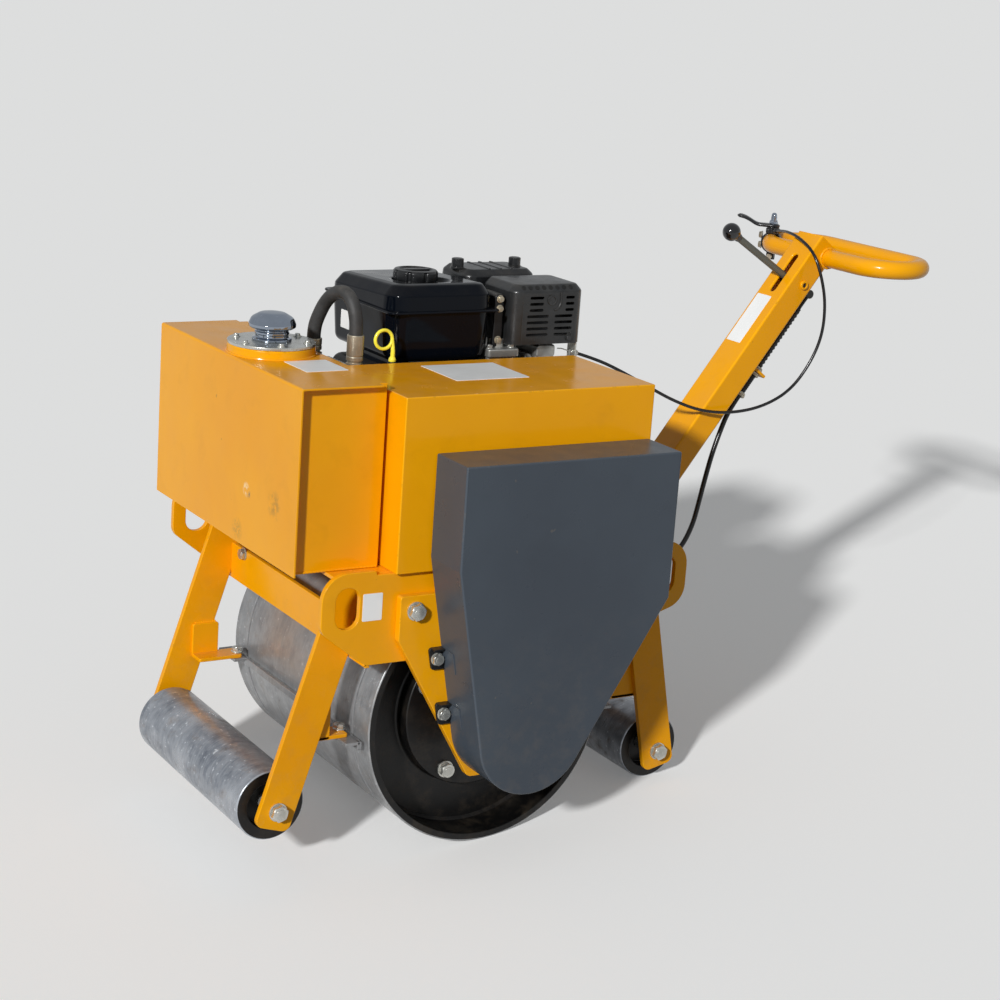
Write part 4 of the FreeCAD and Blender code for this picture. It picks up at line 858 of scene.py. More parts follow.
class MakeCables(bpy.types.Operator):
    """Hose and cables as smooth splines along their routes"""
    bl_idname = "roller.make_cables"
    bl_label = "Hose and cables"

    def execute(self, context):
        hose = [hose_ends[0], (164, 47, 812), (165, 43.5, 829), (166.5, 36, 844), (168.5, 24, 854.5),
                (171, 10, 858), (175, -13, 852), (180, -32.4, 834.6), (185.5, -44.5, 809), (188.5, -50, 790),
                hose_ends[1]]
        throttle = [(seat[0] + 20, seat[1] + 36, ring_z + 26), (seat[0] + 33, seat[1] + 66, ring_z + 31),
                    (-753, -50, 935.5), (-743.5, -6, 932.5), (-740, 43, 914), (-747.5, 62, 874),
                    (-756.5, 70, 827), (-757.5, 70, 769.5), (-739.5, 66, 717.5), (-705, 60, 668),
                    (-648, 57, 641), (-584, 52, 632), (-522, 48, 638), (-464, 44, 658), (-408, 38, 686),
                    (-358, 30, 712), throttle_before, throttle_end]
        control = [tuple(cable_start), tuple(cable_start - along * 34), (-595, 11, 587), (-581, 13, 549),
                   (-569, 16, 508), (-556, 21, 464), (-541, 28, 422), (-512, 38, 386),
                   (-468, 50, 363), (-418, 58, 353), (-372, 62, 352), (-334, 62, 356), gland_end]
        for name, route, diameter, length, node, finish, stiff in (
                ("oil_hose", hose, 0.022, 0.195, "hydraulic_hose", "hose_rubber", "stiff"),
                ("throttle_wire", throttle, 0.0055, 0.900, "throttle_cable", "cable_jacket", "medium"),
                ("direction_cable", control, 0.009, 0.5145, "control_cable", "cable_jacket", "medium")):
            places = park(route)
            curve = bpy.data.curves.new(name, "CURVE")
            curve.dimensions = "3D"
            spline = curve.splines.new("NURBS")
            spline.points.add(len(places) - 1)
            spline.points.foreach_set("co", np.column_stack([places, np.ones(len(places))]).ravel())
            spline.order_u = 3
            spline.use_endpoint_u = True
            spline.resolution_u = 12
            curve.bevel_depth = diameter / 2
            curve.bevel_resolution = 8
            curve.use_fill_caps = True
            curve.materials.append(finishes[finish])
            obj = bpy.data.objects.new(name, curve)
            context.scene.collection.objects.link(obj)
            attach(obj, "frame")
            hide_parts(node)
        return {"FINISHED"}


class MakeDrum(bpy.types.Operator):
    """Drum: a rolled shell with a groove near each rim, recessed ends and raised hubs"""
    bl_idname = "roller.make_drum"
    bl_label = "Drum"

    def execute(self, context):
        s = sizes()
        r = s.drum_radius * 1000
        half = s.drum_width * 500
        at = (0, 0, DRUM_R)
        rows = [(r - 12, -half, 2), (r, -half, 3)]
        for side in (-1, 1):
            groove = side * (half - groove_inset)
            rows += [(r, groove - 2.6, 0.6), (r - 3, groove - 1.6, 0), (r - 3, groove + 1.6, 0), (r, groove + 2.6, 0.6)]
        rows += [(r, half, 3), (r - 12, half, 2)]
        emit("drum_tube", lathe(rows, at, (0, 1, 0), 180, 4, closed=True), "worn_steel", "drum", ["drum_shell"])
        recess = half - 62
        end = lathe([(30.1, recess - 10), (r - 12, recess - 10), (r - 12, recess + 5, 0), (r - 17, recess, 0),
                     (128, recess, 6),
                     (128, recess + 28, 3), (30.1, recess + 28, 1)], at, (0, 1, 0), 120, 4, closed=True)
        # Painted shade: a black annulus laid over the shell's end face, standing for the shade on that face.
        rim = lathe([(r - 12.6, recess), (r - 12.1, recess), (r - 12.1, half + 0.2, 0.4), (r - 2.6, half + 0.2, 0.3),
                     (r - 2.6, half - 0.5), (r - 12.6, half - 0.5)], at, (0, 1, 0), 180, 2, closed=True)
        # Painted shade: a black ring in the bottom of each groove, standing for the shade in the groove.
        groove_shade = lathe([(r + a, half - groove_inset + b) for a, b in ((-3.2, -1.4), (-2.9, -1.4), (-2.9, 1.4),
                                                                     (-3.2, 1.4))], at, (0, 1, 0), 180, 2, closed=True)
        spots = [(hub_circle * cos(radians(t)), recess + 28, DRUM_R + hub_circle * sin(radians(t)))
                 for t in (28, 118, 208, 298)]
        emit("drum_hub_bolts", both(joined(*[bolt(spot, (0, 1, 0), 22, 10, 14, 3, spot[0]) for spot in spots])),
             "zinc", "drum", ())
        end = joined(end, rim, groove_shade)
        emit("drum_side_left", end, "drum_black", "drum", ["drum_end_left"])
        emit("drum_side_right", other_side(end), "drum_black", "drum", ["drum_end_right"])
        return {"FINISHED"}


class MakeRollers(bpy.types.Operator):
    """The two small guard rollers with their black ends and their axles"""
    bl_idname = "roller.make_rollers"
    bl_label = "Small rollers"

    def execute(self, context):
        s = sizes()
        r = s.roller_radius * 1000
        half = s.roller_width * 500
        for place, x in ROLLER_X.items():
            body = place + "_small_roller"
            at = (x, 0, AXLE_Z)
            barrel = lathe([(r - 9, -half + 1, 1), (r, -half, 3), (r, half, 3), (r - 9, half - 1, 1)], at, (0, 1, 0),
                           112, 4, closed=True)
            emit(place + "_roller_tube", barrel, "roller_steel", body, [place + "_roller"])
            plug = lathe([(38, half - 24, 2), (38, half, 2), (r - 1.6, half + 0.1, 0.4), (r - 2.2, half - 0.6, 0),
                          (r - 9, half - 24, 0),
                          (r - 9, half - 34, 0), (12.6, half - 34, 0), (12.6, half - 24, 0.5)], at, (0, 1, 0), 80, 3,
                          closed=True)
            emit(place + "_roller_ends", both(plug), "drum_black", body, ())
            bar = lathe([(0, -arm_y[0]), (12.5, -arm_y[0], 1), (12.5, arm_y[0], 1), (0, arm_y[0])], at, (0, 1, 0), 32,
                        2)
            emit(place + "_axle_bolts", joined(bar, both(bolt((x, arm_y[1], AXLE_Z), (0, 1, 0)))), "zinc", "frame",
                 [place + "_axle"])
        return {"FINISHED"}


class MakeFrame(bpy.types.Operator):
    """Side plates with lifting eyes, support plates, cross plates, ears, deck and arms"""
    bl_idname = "roller.make_frame"
    bl_label = "Frame"

    def execute(self, context):
        eye_half = 43.0
        eye_top = eye_z + 55.5
        front, rear = eyes
        rows = [(front + eye_half, eye_top, eye_half), (front + eye_half, 398, 22), (front - 18, 350, 2),
                (front - 38, 338, 6),
                (rear + 38, 338, 6), (rear + 6, 366.5, 20), (rear - eye_half, 381.5, 38.7),
                (rear - eye_half, eye_top, eye_half), (rear + eye_half + 4, eye_top, 5),
                (rear + eye_half + 4, frame_top, 2),
                (front - eye_half - 4, frame_top, 2), (front - eye_half - 4, eye_top, 5)]
        holes = [rectangle(x - 20, x + 20, eye_z - 32.5, eye_z + 32.5, 19.5) for x in eyes]
        plate = slab(rows, *side_y, "y", 1.2, holes, steps=9)
        emit("frame_side_left", plate, "yellow_paint", "frame", ["side_plate_left"])
        emit("frame_side_right", other_side(plate), "yellow_paint", "frame", ["side_plate_right"])
        rows = [(198, 446, 5), (198, 376, 8), (60, 137, 14), (-60, 137, 14), (-198, 376, 8), (-198, 446, 5)]
        support = slab(rows, side_y[1] + 0.1, support_y, "y", 1.3, steps=8)
        bearing = lathe([(0, 236), (58, 236, 2), (62, 240, 2), (62, 288, 0), (0, 288)], (0, 0, DRUM_R), (0, 1, 0), 72,
                        3)
        stub = lathe([(0, 173), (30, 173, 2), (30, 237, 0), (0, 237)], (0, 0, DRUM_R), (0, 1, 0), 48, 3)
        support = joined(support, bearing, stub)
        heads = joined(*[bolt((x, support_y, 422), (0, 1, 0), turn_by=x) for x in (172, -172)])
        emit("support_left", support, "yellow_paint", "frame", ["drum_support_left"])
        emit("support_right", other_side(support), "yellow_paint", "frame", ["drum_support_right"])
        emit("support_bolts", both(heads), "zinc")
        cross = block(cross_front_x, inside_y, cross_z, 1.2, axis="x")
        beads = [weld((241.5, turn * 277, 334), (241.5, turn * 277, 388), 2.4) for turn in (1, -1)]
        nuts = [bolt((240, y, 385), (1, 0, 0), 17, 7, 11, 2.0) for y in (-168, 168)]
        emit("front_cross_bar", joined(cross, *beads), "yellow_paint", "frame", ["front_cross_plate"])
        emit("cross_bolts", joined(*nuts), "zinc")
        rear_bar = block(cross_rear_x, inside_y, cross_z, 1.2, axis="x")
        emit("rear_cross_bar", rear_bar, "yellow_paint", "frame", ["rear_cross_plate"])
        low, high = foot_bolts
        rows = [(cross_rear_x[0], deck_z[0], 0), (cross_rear_x[0], cross_z[0], 0), (low[0] + 24, low[2] - 38.4, 20),
                (high[0] - 24, high[2] - 38.4, 22), (high[0] - 24, deck_z[0], 12)]
        ear = slab(rows, *ear_y, "y", 1.0, steps=8)
        bead = weld((-279, 42, 334), (-279, 42, 388), 3.0)
        emit("foot_ears", both(joined(ear, bead)), "grey_paint")
        deck = block((-300, 300), inside_y, deck_z, 1.0, axis="z")
        emit("deck_sheet", deck, "yellow_paint", "frame", ["deck"])
        for place, side in (("front", 1), ("rear", -1)):
            self.arm(place, ROLLER_X[place], arm_tilt[place], side)
        return {"FINISHED"}

    def arm(self, place, axle_x, tilt, side):
        """Flat bar leaning from its roller's axle to the deck, its bracket, and the scraper bolted under it."""
        reach = deck_z[0] - AXLE_Z
        shift = -side * reach * tan(radians(tilt))
        half_width = 30
        slope = half_width / cos(radians(tilt))
        top = axle_x + shift
        d = np.array((shift, reach)) / hypot(shift, reach)
        across = np.array((d[1], -d[0]))
        tip = np.array((axle_x, AXLE_Z)) - d * half_width
        rows = [(*(tip - across * half_width), 13), (*(tip + across * half_width), 13), (top + slope, deck_z[0], 0),
                (top - slope, deck_z[0], 0)]
        bar = slab(rows, *arm_y, "y", 1.2, steps=8)
        middle = axle_x + shift * (scraper_z + 29 - AXLE_Z) / reach
        span = sorted((side * bracket_inner_x, middle))
        web = block(span, (arm_y[0] - 6, arm_y[0] + 0.2), (scraper_z, scraper_z + 58), 1.2, 4)
        shelf = block(sorted((side * 230.0, middle)), (180, arm_y[0] + 0.2), (scraper_z, scraper_z + 6), 1.0, 4,
                      axis="z")
        bead = weld((span[0] + 4, arm_y[0], scraper_z + 58), (span[1] - 6, arm_y[0], scraper_z + 58), 2.2)
        arm = joined(bar, web, shelf, bead)
        for turn, made in (("left", arm), ("right", other_side(arm))):
            emit(f"{place}_arm_bar_{turn}", made, "yellow_worn", "frame", [f"{place}_arm_{turn}"])
        edge = side * (DRUM_R + scraper_gap)
        back = edge + side * scraper_leg
        blade = block(sorted((edge, edge + side * 7)), (-scraper_half_length, scraper_half_length),
                      (scraper_z - 12, scraper_z), 0.8, axis="x")
        leg = block(sorted((edge + side * 3, back)), (176, scraper_half_length), (scraper_z - 5, scraper_z), 0.8,
                    axis="z")
        heads = both(bolt((back - side * 12, 194, scraper_z + 6), (0, 0, 1), 16, 7, 10, 3))
        emit(place + "_scraper_bar", joined(blade, both(leg)), "worn_steel", "frame", [place + "_scraper"])
        emit(place + "_scraper_bolts", heads, "zinc")


class MakeTank(bpy.types.Operator):
    """Oil tank of folded sheet with its filler neck, ring and breather cap"""
    bl_idname = "roller.make_tank"
    bl_label = "Oil tank"

    def execute(self, context):
        wall = 3
        inner_x, inner_top = tank_front_x - wall, tank_top - wall
        fold = [(227, tank_top, 0), (tank_front_x, tank_top, 4), (tank_front_x, frame_top, 0), (inner_x, frame_top, 0),
                (inner_x, inner_top, 2), (227, inner_top, 0)]
        skin = slab(fold, -265, 265, "y", 0.6, steps=6, turn=2)
        strip = block((tank_back_x, 227.5), (-250, 250), (inner_top, tank_top), 0.5, axis="z")
        body = block((tank_back_x, inner_x + 0.5), (-250, 250), (frame_top, inner_top + 0.5), 1.5, 2)
        seams = [weld((215, turn * 250, 482), (356, turn * 250, 482), 1.6, 6) for turn in (1, -1)]
        neck = lathe([(40, 0), (69, 0, 0), (69, 14, 2.5), (40, 14, 1)], (filler_x, 0, tank_top), (0, 0, 1), 96, 3,
                     closed=True)
        collar = tube(hoop((filler_x, 0, tank_top + 0.5), 69.5, False, 96), 2.2, True, 10)
        emit("oil_tank_sheet", joined(skin, strip, body, neck, collar, *seams), "tank_paint", "frame", ["oil_tank"])
        top = tank_top + 14
        ring = lathe([(0, 0), (69, 0, 0.8), (69, 5, 1.2), (0, 5)], (filler_x, 0, top), (0, 0, 1), 96, 3)
        bolts = []
        for turn in range(0, 360, 60):
            a = radians(turn + 20)
            bolts.append(lathe([(0, -0.5), (6.5, -0.5), (6.5, 1.4, 0.6), (4.4, 1.6), (4.2, 5.0, 1.6), (0, 5.6)],
                               (filler_x + 57 * cos(a), 57 * sin(a), top + 5), (0, 0, 1), 20, 3))
        emit("filler_ring", joined(ring, *bolts), "zinc", "frame", ["filler_flange"])
        cap = lathe([(0, 0), (31, 0, 1), (31, 4, 1.5), (26, 6, 2), (26, 10, 1), (27, 11, 1), (27, 14, 1),
                     (25, 15.5, 1), (25, 17, 1), (33, 19.5, 2), (37, 22, 2), (37, 27, 4), (33, 36, 12),
                     (20, 43.5, 16), (0, 46)], (filler_x, 0, top + 5), (0, 0, 1), 96, 5)
        emit("breather_dome", cap, "chrome", "frame", ["breather_cap"])
        return {"FINISHED"}


class MakeHousing(bpy.types.Operator):
    """Drive housing and belt cover of folded sheet"""
    bl_idname = "roller.make_housing"
    bl_label = "Housing and belt cover"

    def execute(self, context):
        housing = block((-238, 206), (60, 298), (frame_top, housing_top), 2.2, 2)
        seam = weld((-232, 297, 482), (200, 297, 482), 1.2, 6)
        emit("housing_sheet", joined(housing, seam), "yellow_paint", "frame", ["drive_housing"])
        emit("belt_cover_shell", tray(self.outline(), *cover_y, 2.5, 3.0), "grey_paint", "frame", ["belt_cover"])
        lugs, tabs, heads = [], [], []
        for z in (343.0, 252.0):
            low, high = self.flank(z - 18), self.flank(z + 18)
            rows = [(low - 5, z - 18, 0), (low + 24, z - 18, 5), (high + 24, z + 18, 5), (high - 5, z + 18, 0)]
            lugs.append(slab(rows, cover_y[0], cover_y[0] + 5, "y", 0.9))
            rows = [(low - 0.5, z - 17, 0), (low + 1.6, z - 17, 0), (high + 1.6, z + 17, 0), (high - 0.5, z + 17, 0)]
            tabs.append(slab(rows, cover_y[0], cover_y[0] + 38, "y", 0.5))
            lugs.append(block((high + 1, high + 20), (306, 318), (z + 15, z + 18), 0.8, axis="z"))
            heads.append(bolt((self.flank(z) + 13, cover_y[0] + 5, z), (0, 1, 0), 17, 7, 10.5, 2.0, z))
        emit("cover_lugs", joined(*lugs), "engine_black")
        emit("cover_lug_tabs", joined(*tabs), "grey_paint")
        emit("cover_lug_bolts", joined(*heads), "zinc")
        return {"FINISHED"}

    front_knee = (151.0, 505.0)
    rear_knee = (-232.0, 430.0)
    cover_top = 665.0

    def touch(self, x, knee, sign):
        """Where the line from a knee touches the foot's circle, and the angle there."""
        gap = (x - cover_foot[0], knee - cover_foot[1])
        angle = atan2(gap[1], gap[0]) - sign * acos(cover_foot_r / hypot(*gap))
        return cover_foot[0] + cover_foot_r * cos(angle), cover_foot[1] + cover_foot_r * sin(angle), angle

    def flank(self, z):
        """How far forward the front flank stands at a height."""
        tx, tz, _ = self.touch(*self.front_knee, 1)
        return tx + (self.front_knee[0] - tx) * (z - tz) / (self.front_knee[1] - tz)

    def outline(self):
        """The upright top, two slanting flanks and a foot of one arc tangent to both."""
        front_x, rear_x = self.front_knee[0], self.rear_knee[0]
        _, _, a0 = self.touch(*self.front_knee, 1)
        _, _, a1 = self.touch(*self.rear_knee, -1)
        t = np.linspace(a0, a1 - 2 * pi if a1 > a0 else a1, 44)
        arc = np.column_stack([cover_foot[0] + cover_foot_r * np.cos(t), cover_foot[1] + cover_foot_r * np.sin(t)])
        top = arcs([(*arc[-1], 0), (*self.rear_knee, 2), (rear_x, self.cover_top, 2.5), (front_x, self.cover_top, 2.5),
                    (*self.front_knee, 2), (*arc[0], 0)], 4, closed=False)
        return np.concatenate([arc, top[1:-1]])


class MakeEngine(bpy.types.Operator):
    """Petrol engine: base, crankcase, finned cylinder, starter, fuel tank, guard, air cleaner, dipstick, valve"""
    bl_idname = "roller.make_engine"
    bl_label = "Engine"

    def execute(self, context):
        self.block()
        self.fuel()
        self.guard()
        self.cleaner()
        self.valve()
        return {"FINISHED"}

    fan_at = (-5, -150, 630)
    fan_r = 106
    seam = (822, 826)
    shoulder_z = 850
    lid_z = 868
    guard_x = (-275, -135)
    guard_y = (-84, 26)
    guard_z = (764, 845)

    def block(self):
        """Channel on the deck, crankcase, cylinder with its fins, head, exhaust and starter."""
        channel = [(-150, 480, 0), (-145, 480, 0), (-145, 539, 2), (35, 539, 2), (35, 480, 0), (40, 480, 0),
                   (40, 544, 4), (-150, 544, 4)]
        nuts = [bolt((x, y, 544), (0, 0, 1), 13, 6, 9, 1.5) for x in (-150, 114) for y in (-134, 24)]
        emit("engine_channel", joined(slab(channel, -175, 125, "x", 0.6), *nuts), "engine_black", "frame",
             ["engine_base"])
        case = block((-115, 105), (-150, 40), (544, 728), 4, 18)
        ribs = [block((103, 108), (y, y + 6), (560, 700), 1.5, 2) for y in (-130, -86, -42, 2)]
        cover = lathe([(0, 0), (78, 0), (78, 5, 2), (70, 9, 3), (36, 9, 3), (32, 14, 2), (0, 14)], (-5, 39, 634),
                      (0, 1, 0), 64, 3)
        rims = [hex_head((-5 + 72 * cos(radians(t)), 44, 634 + 72 * sin(radians(t))), (0, 1, 0), 10, 5, t)
                for t in range(15, 375, 60)]
        spout = block((90, 104), (39, 56), (598, 618), 2, 3)
        dip_tube = lathe([(0, 0), (5, 0), (5, 130), (6.6, 132, 1), (6.6, 141, 1), (0, 141)], (98, 49, 610), (0, 0, 1),
                         28, 2)
        plug = hex_head((105, -60, 568), (1, 0, 0), 14, 7)
        emit("crankcase", joined(case, *ribs, cover, *rims, spout, dip_tube, plug), "engine_black", "frame",
             ["engine_block"])
        fins = [block((x - 4, x), (-119, 9), (586, 743), 1.2, 14, axis="x") for x in np.linspace(-126, -208, 9)]
        core = block((-213, -113), (-104, -6), (600, 728), 2, 10)
        head = block((-227, -211), (-106, -4), (598, 732), 4, 18, axis="x")
        exhaust = block((-150, -100), (-32, 14), (726, 752), 3, 5)
        flange = block((-156, -96), (-12, 22), (744, 757), 2, 6, axis="z")
        studs = [bolt((x, 8, 757), (0, 0, 1), 10, 5, 7, 1.2) for x in (-147, -105)]
        pipe = lathe([(0, 0), (15, 0), (15, 26), (0, 26)], (-126, -10, 745), (0, 0, 1), 32, 1)
        rocker = block((-232, -196), (-58, 12), (738, 760), 3, 6)
        tap = [bolt((-214, y, 760), (0, 0, 1), 10, 4, 6.5, 1.0) for y in (-40, 0)]
        metal = joined(*fins, core, head, exhaust, flange, pipe, rocker, *studs, *tap)
        emit("cylinder_fins", metal, "cast_metal")
        shroud = lathe([(0, 0), (self.fan_r, 0, 0), (self.fan_r, -44, 14), (84, -60, 12), (50, -62, 2), (46, -57, 2),
                        (0, -57)], self.fan_at, (0, 1, 0), 96, 5)
        shroud = (shroud[0], shroud[1][:, ::-1], shroud[2][:, ::-1], shroud[3])
        grip = block((-24, 14), (-212, -200), (680, 696), 4, 6)
        emit("starter_shroud", joined(shroud, grip), "engine_black", "frame", ["fan_housing"])
        # Painted shade: dark bars on the shroud stand for the shade in its vent slits.
        slits = []
        for turn in range(0, 360, 15):
            slit = block((58, 82), (-212.2, -206), (628, 633), 0.6, 2.4)
            slit = moved(slit, (-5, 0, 0))
            slits.append(turned_about(slit, (-5, -208, 630.5), (0, 1, 0), turn))
        emit("starter_slit_shade", joined(*slits), "dark_inside")

    def fuel(self):
        """Pressed tank of two halves: its upper half leans down to the far side and has a scooped dish for the cap."""
        x, y = (-102, 91), (-206, 30)

        def leaning(one):
            rise = np.clip((one[0][:, 2] - self.seam[1]) / (self.shoulder_z - self.seam[1]), 0, 1)
            fall = 0.045 * (y[1] - one[0][:, 1]) * rise
            return (one[0] - fall[:, None] * (0, 0, 1.0), *one[1:])
        corner = 36
        low = tower(x, y, [(44, 741, 0), (6, 742, 14), (0, self.seam[0], 0)], corner, 10, 6, high_cap=False)
        flange = slab(rectangle(x[0] - 6, x[1] + 6, y[0] - 6, y[1] + 6, 15), *self.seam, "z", 1.6, steps=10)
        rows = [(0, self.seam[1], 0), (1.0, self.shoulder_z, 6), (14, self.lid_z - 2, 9), (24, self.lid_z, 8),
                (28, self.lid_z, 0)]
        high = tower(x, y, rows, corner, 10, 6, low_cap=False, high_cap=False)
        loop = high[0][-4 * 11:]
        spin = turns(72)
        dish_r = 52
        dish_at = np.array((0.0, -50.0, self.lid_z))
        circle = np.column_stack([dish_at[0] + dish_r * np.cos(spin), dish_at[1] + dish_r * np.sin(spin)])
        flat = np.concatenate([loop[:, :2], circle])
        lid = shape(np.column_stack([flat, np.full(len(flat), self.lid_z)]), None, caps([loop[:, :2], circle], False))
        dish = lathe([(dish_r, 0), (49, -0.4, 2.5), (42, -8, 6), (0, -9)], dish_at, (0, 0, 1), 72, 5)
        legs = [block((at - 12, at + 12), (-130, 20), (727, 742), 1.5, axis="z") for at in (60, -80)]
        half_shells = [leaning(one) for one in (low, flange, high, lid, dish)]
        emit("fuel_tank_shell", joined(*half_shells, *legs), "black_paint", "frame", ["fuel_tank"])

        def grip(angle, height):
            lobe = np.clip(np.cos(8 * angle) * 3 - 1.6, 0, 1)
            return 1 - 0.085 * lobe * ((height > 4) & (height < 19.5))
        cap_at = (3.0, -62.0, 857.5)
        cap = lathe([(0, 0), (34, 0), (35, 4.8, 0), (37, 5.2, 0.6), (37, 18, 2), (34.5, 21.4, 2), (28, 22.4, 1),
                     (25.5, 19.6, 1.5), (0, 19.6)],
                    cap_at, (0, 0, 1), 160, 4, wave=grip)
        bar = block((cap_at[0] - 25, cap_at[0] + 25), (cap_at[1] - 6, cap_at[1] + 6), (876, 880), 1.6, 5, axis="z")
        emit("fuel_cap_grip", joined(cap, bar), "black_plastic", "frame", ["fuel_cap"])

    def guard(self):
        """Pressed guard over the muffler: rows of slots, a round boss, a hooked rib, and dark discs along its shoulder,
        painted shade for its pits.
        """
        x, y = self.guard_x, self.guard_y
        foot_z, head_z = self.guard_z
        corner = 20
        rows = [(0, foot_z, 0), (0, head_z, 0), (0, 852, 7), (10, 863, 7), (30, 864, 0)]
        shell = tower(x, y, rows, corner, 8, 5, low_cap=False)
        middle = shell[0][shell[1]].mean(1)
        window = (middle[:, 1] > y[1] - 0.05) & (middle[:, 2] < head_z)
        shell = (shell[0], shell[1][~window], shell[2], shell[3])
        emit("guard_shell", shell, "guard_black", "frame", ["muffler_guard"], sheet=2.0)
        slots, pitch = [], 10.3
        for k in range(7):
            z = 777.6 + k * pitch
            spans = ((-205, -163), (-252, -217)) if k < 4 else ((-194, -167), (-254, -237))
            slots += [rectangle(a, b, z, z + 4.6, 2.2) for a, b in spans]
        face = slab(rectangle(x[0] + corner, x[1] - corner, foot_z, head_z, 0), y[1] - 2.2, y[1], "y", 0.3, slots,
                    steps=4, turn=2)
        boss = lathe([(0, 0), (8.5, 0), (8.5, 2.6, 1), (6.4, 2.8, 0.6), (6, 1.4, 0), (0, 1.4)],
                     (-209, y[1] - 0.6, 837.5), (0, 1, 0), 32, 2)
        hook = [(-226, y[1], 851), (-226.6, y[1], 843), (-227, y[1], 834), (-225, y[1], 827), (-220, y[1], 822.5),
                (-215, y[1], 821)]
        screw = bolt((-246, y[1] + 0.2, 773), (0, 1, 0), 8, 3.5, 5.5, 0.8)
        emit("guard_face", joined(face, boss, tube(hook, 1.9, sides=14), screw), "guard_black")
        # Painted shade: dark discs along the shoulder stand for the shade in the guard's pits.
        pits = []
        for k in range(8):
            pits.append(lathe([(0, -1), (4.2, -1), (4.2, 0.6, 0.2), (0, 0.6)], (-156 - k * 13.0, 20.6, 858.0),
                              (0, 0.74, 0.67), 16, 1))
        emit("guard_pit_shade", joined(*pits), "dark_inside")
        box = block((-262, -148), (-80, 6), (768, 842), 8, 14)
        outlet = lathe([(0, 0), (12, 0), (12, 8, 1), (9.5, 8, 1), (9.5, 2), (0, 2)], (-262, -40, 800), (-1, 0, 0), 32,
                       2)
        emit("muffler_can", joined(box, outlet), "engine_black", "frame", ["muffler"])
        stay = block((-131, -113), (-60, 4), (757, 846), 3, 6)
        emit("guard_stay", stay, "engine_black")
        studs = [bolt((-122, 4, z), (0, 1, 0), 9, 5, 6.5, 1.2, z) for z in (838, 822, 770)]
        emit("guard_stay_bolts", joined(*studs), "ferrule_steel")

    def cleaner(self):
        """Air cleaner with its knobs and elbow, and the looped dipstick in front of the engine."""
        x, y = (-254, -112), (-192, -92)
        rows = [(30, 775, 0), (4, 775, 5), (0, 786, 5), (0, 836, 0.5), (-1.6, 836.5, 0.5), (-1.6, 842, 1),
                (0, 843, 0.8), (1.5, 860, 8), (12, 869, 6), (30, 869.4, 0)]
        case = tower(x, y, rows, 22, 8, 4)
        ridges = [block((a - 3, a + 3), (-180, -104), (866, 870.6), 1.5, 3, axis="z") for a in (-208, -186, -164)]
        bend = [block((-204, -150), (-120, -94), (744, 776), 4, 8)]

        def grooves(angle, height):
            return 1 - 0.06 * np.clip(np.cos(12 * angle), 0, 1) * (height > 3) * (height < 16)
        knobs = [lathe([(0, -1), (12.5, -1), (12.5, 2, 1), (10.5, 3, 0), (10.5, 16, 1.2), (8, 17, 1), (0, 17)],
                       (a, -142, 866), (0, 0, 1), 72, 3, wave=grooves)
                 for a in (-122, -235)]
        emit("air_cleaner_case", joined(case, *ridges, *bend, *knobs), "black_plastic", "frame", ["air_cleaner"])
        loop = tube(hoop((115, 49, 787), 15, True, 48), 2.8, True, 16)
        tail = tube([(100.4, 49, 792), (99.4, 49, 784), (98.3, 49, 776), (97.6, 49, 768), (97.6, 49, 760),
                     (98, 49, 752)],
                    np.array([2.7, 2.9, 3.2, 3.5, 3.7, 3.8]), sides=16)
        collar = lathe([(0, 0), (6, 0, 0.8), (6, 4, 1), (4, 8, 2), (0, 8)], (98, 49, housing_top), (0, 0, 1), 28, 3)
        emit("dipstick_loop", joined(loop, tail, collar), "yellow_plastic", "frame", ["dipstick"])

    def valve(self):
        """Valve block with its ports and the two ferrules of the hose."""
        body = block((146, 205), (-74, 60), (636, 738), 2, 3)
        ports = [hex_head((205, py, pz), (1, 0, 0), 22, 5, 0.2) for py, pz in ((-46, 664), (-4, 664), (38, 664))]
        bolts = [bolt((205, py, pz), (1, 0, 0), 10, 5, 6, 0.8) for py in (-62, 48) for pz in (648, 724)]
        fittings = []
        for end in hose_ends:
            at = np.array((end[0], end[1], 738.0))
            fittings.append(nut_ring(at, (0, 0, 1), 25, 14))
            tall = end[2] - 752.0
            fittings.append(lathe([(0, 0), (11, 0), (11, 2, 0.5), (13.5, 3.5, 1), (13.5, 9, 0.5), (12.7, 10.5, 0.5),
                                   (13.5, 12, 0.5), (13.5, tall, 1.2), (11.2, tall, 0), (0, tall - 0.1)],
                                   at + (0, 0, 14),
                                  (0, 0, 1), 96, 3, wave=lambda angle,
                                  height: 1 - 0.012 * np.clip(np.cos(12 * angle), 0, 1) * (height > 13)))
        emit("valve_body", joined(body, *ports, *bolts), "zinc", "frame", ["valve_block"])
        emit("hose_ends", joined(*fittings), "ferrule_steel")


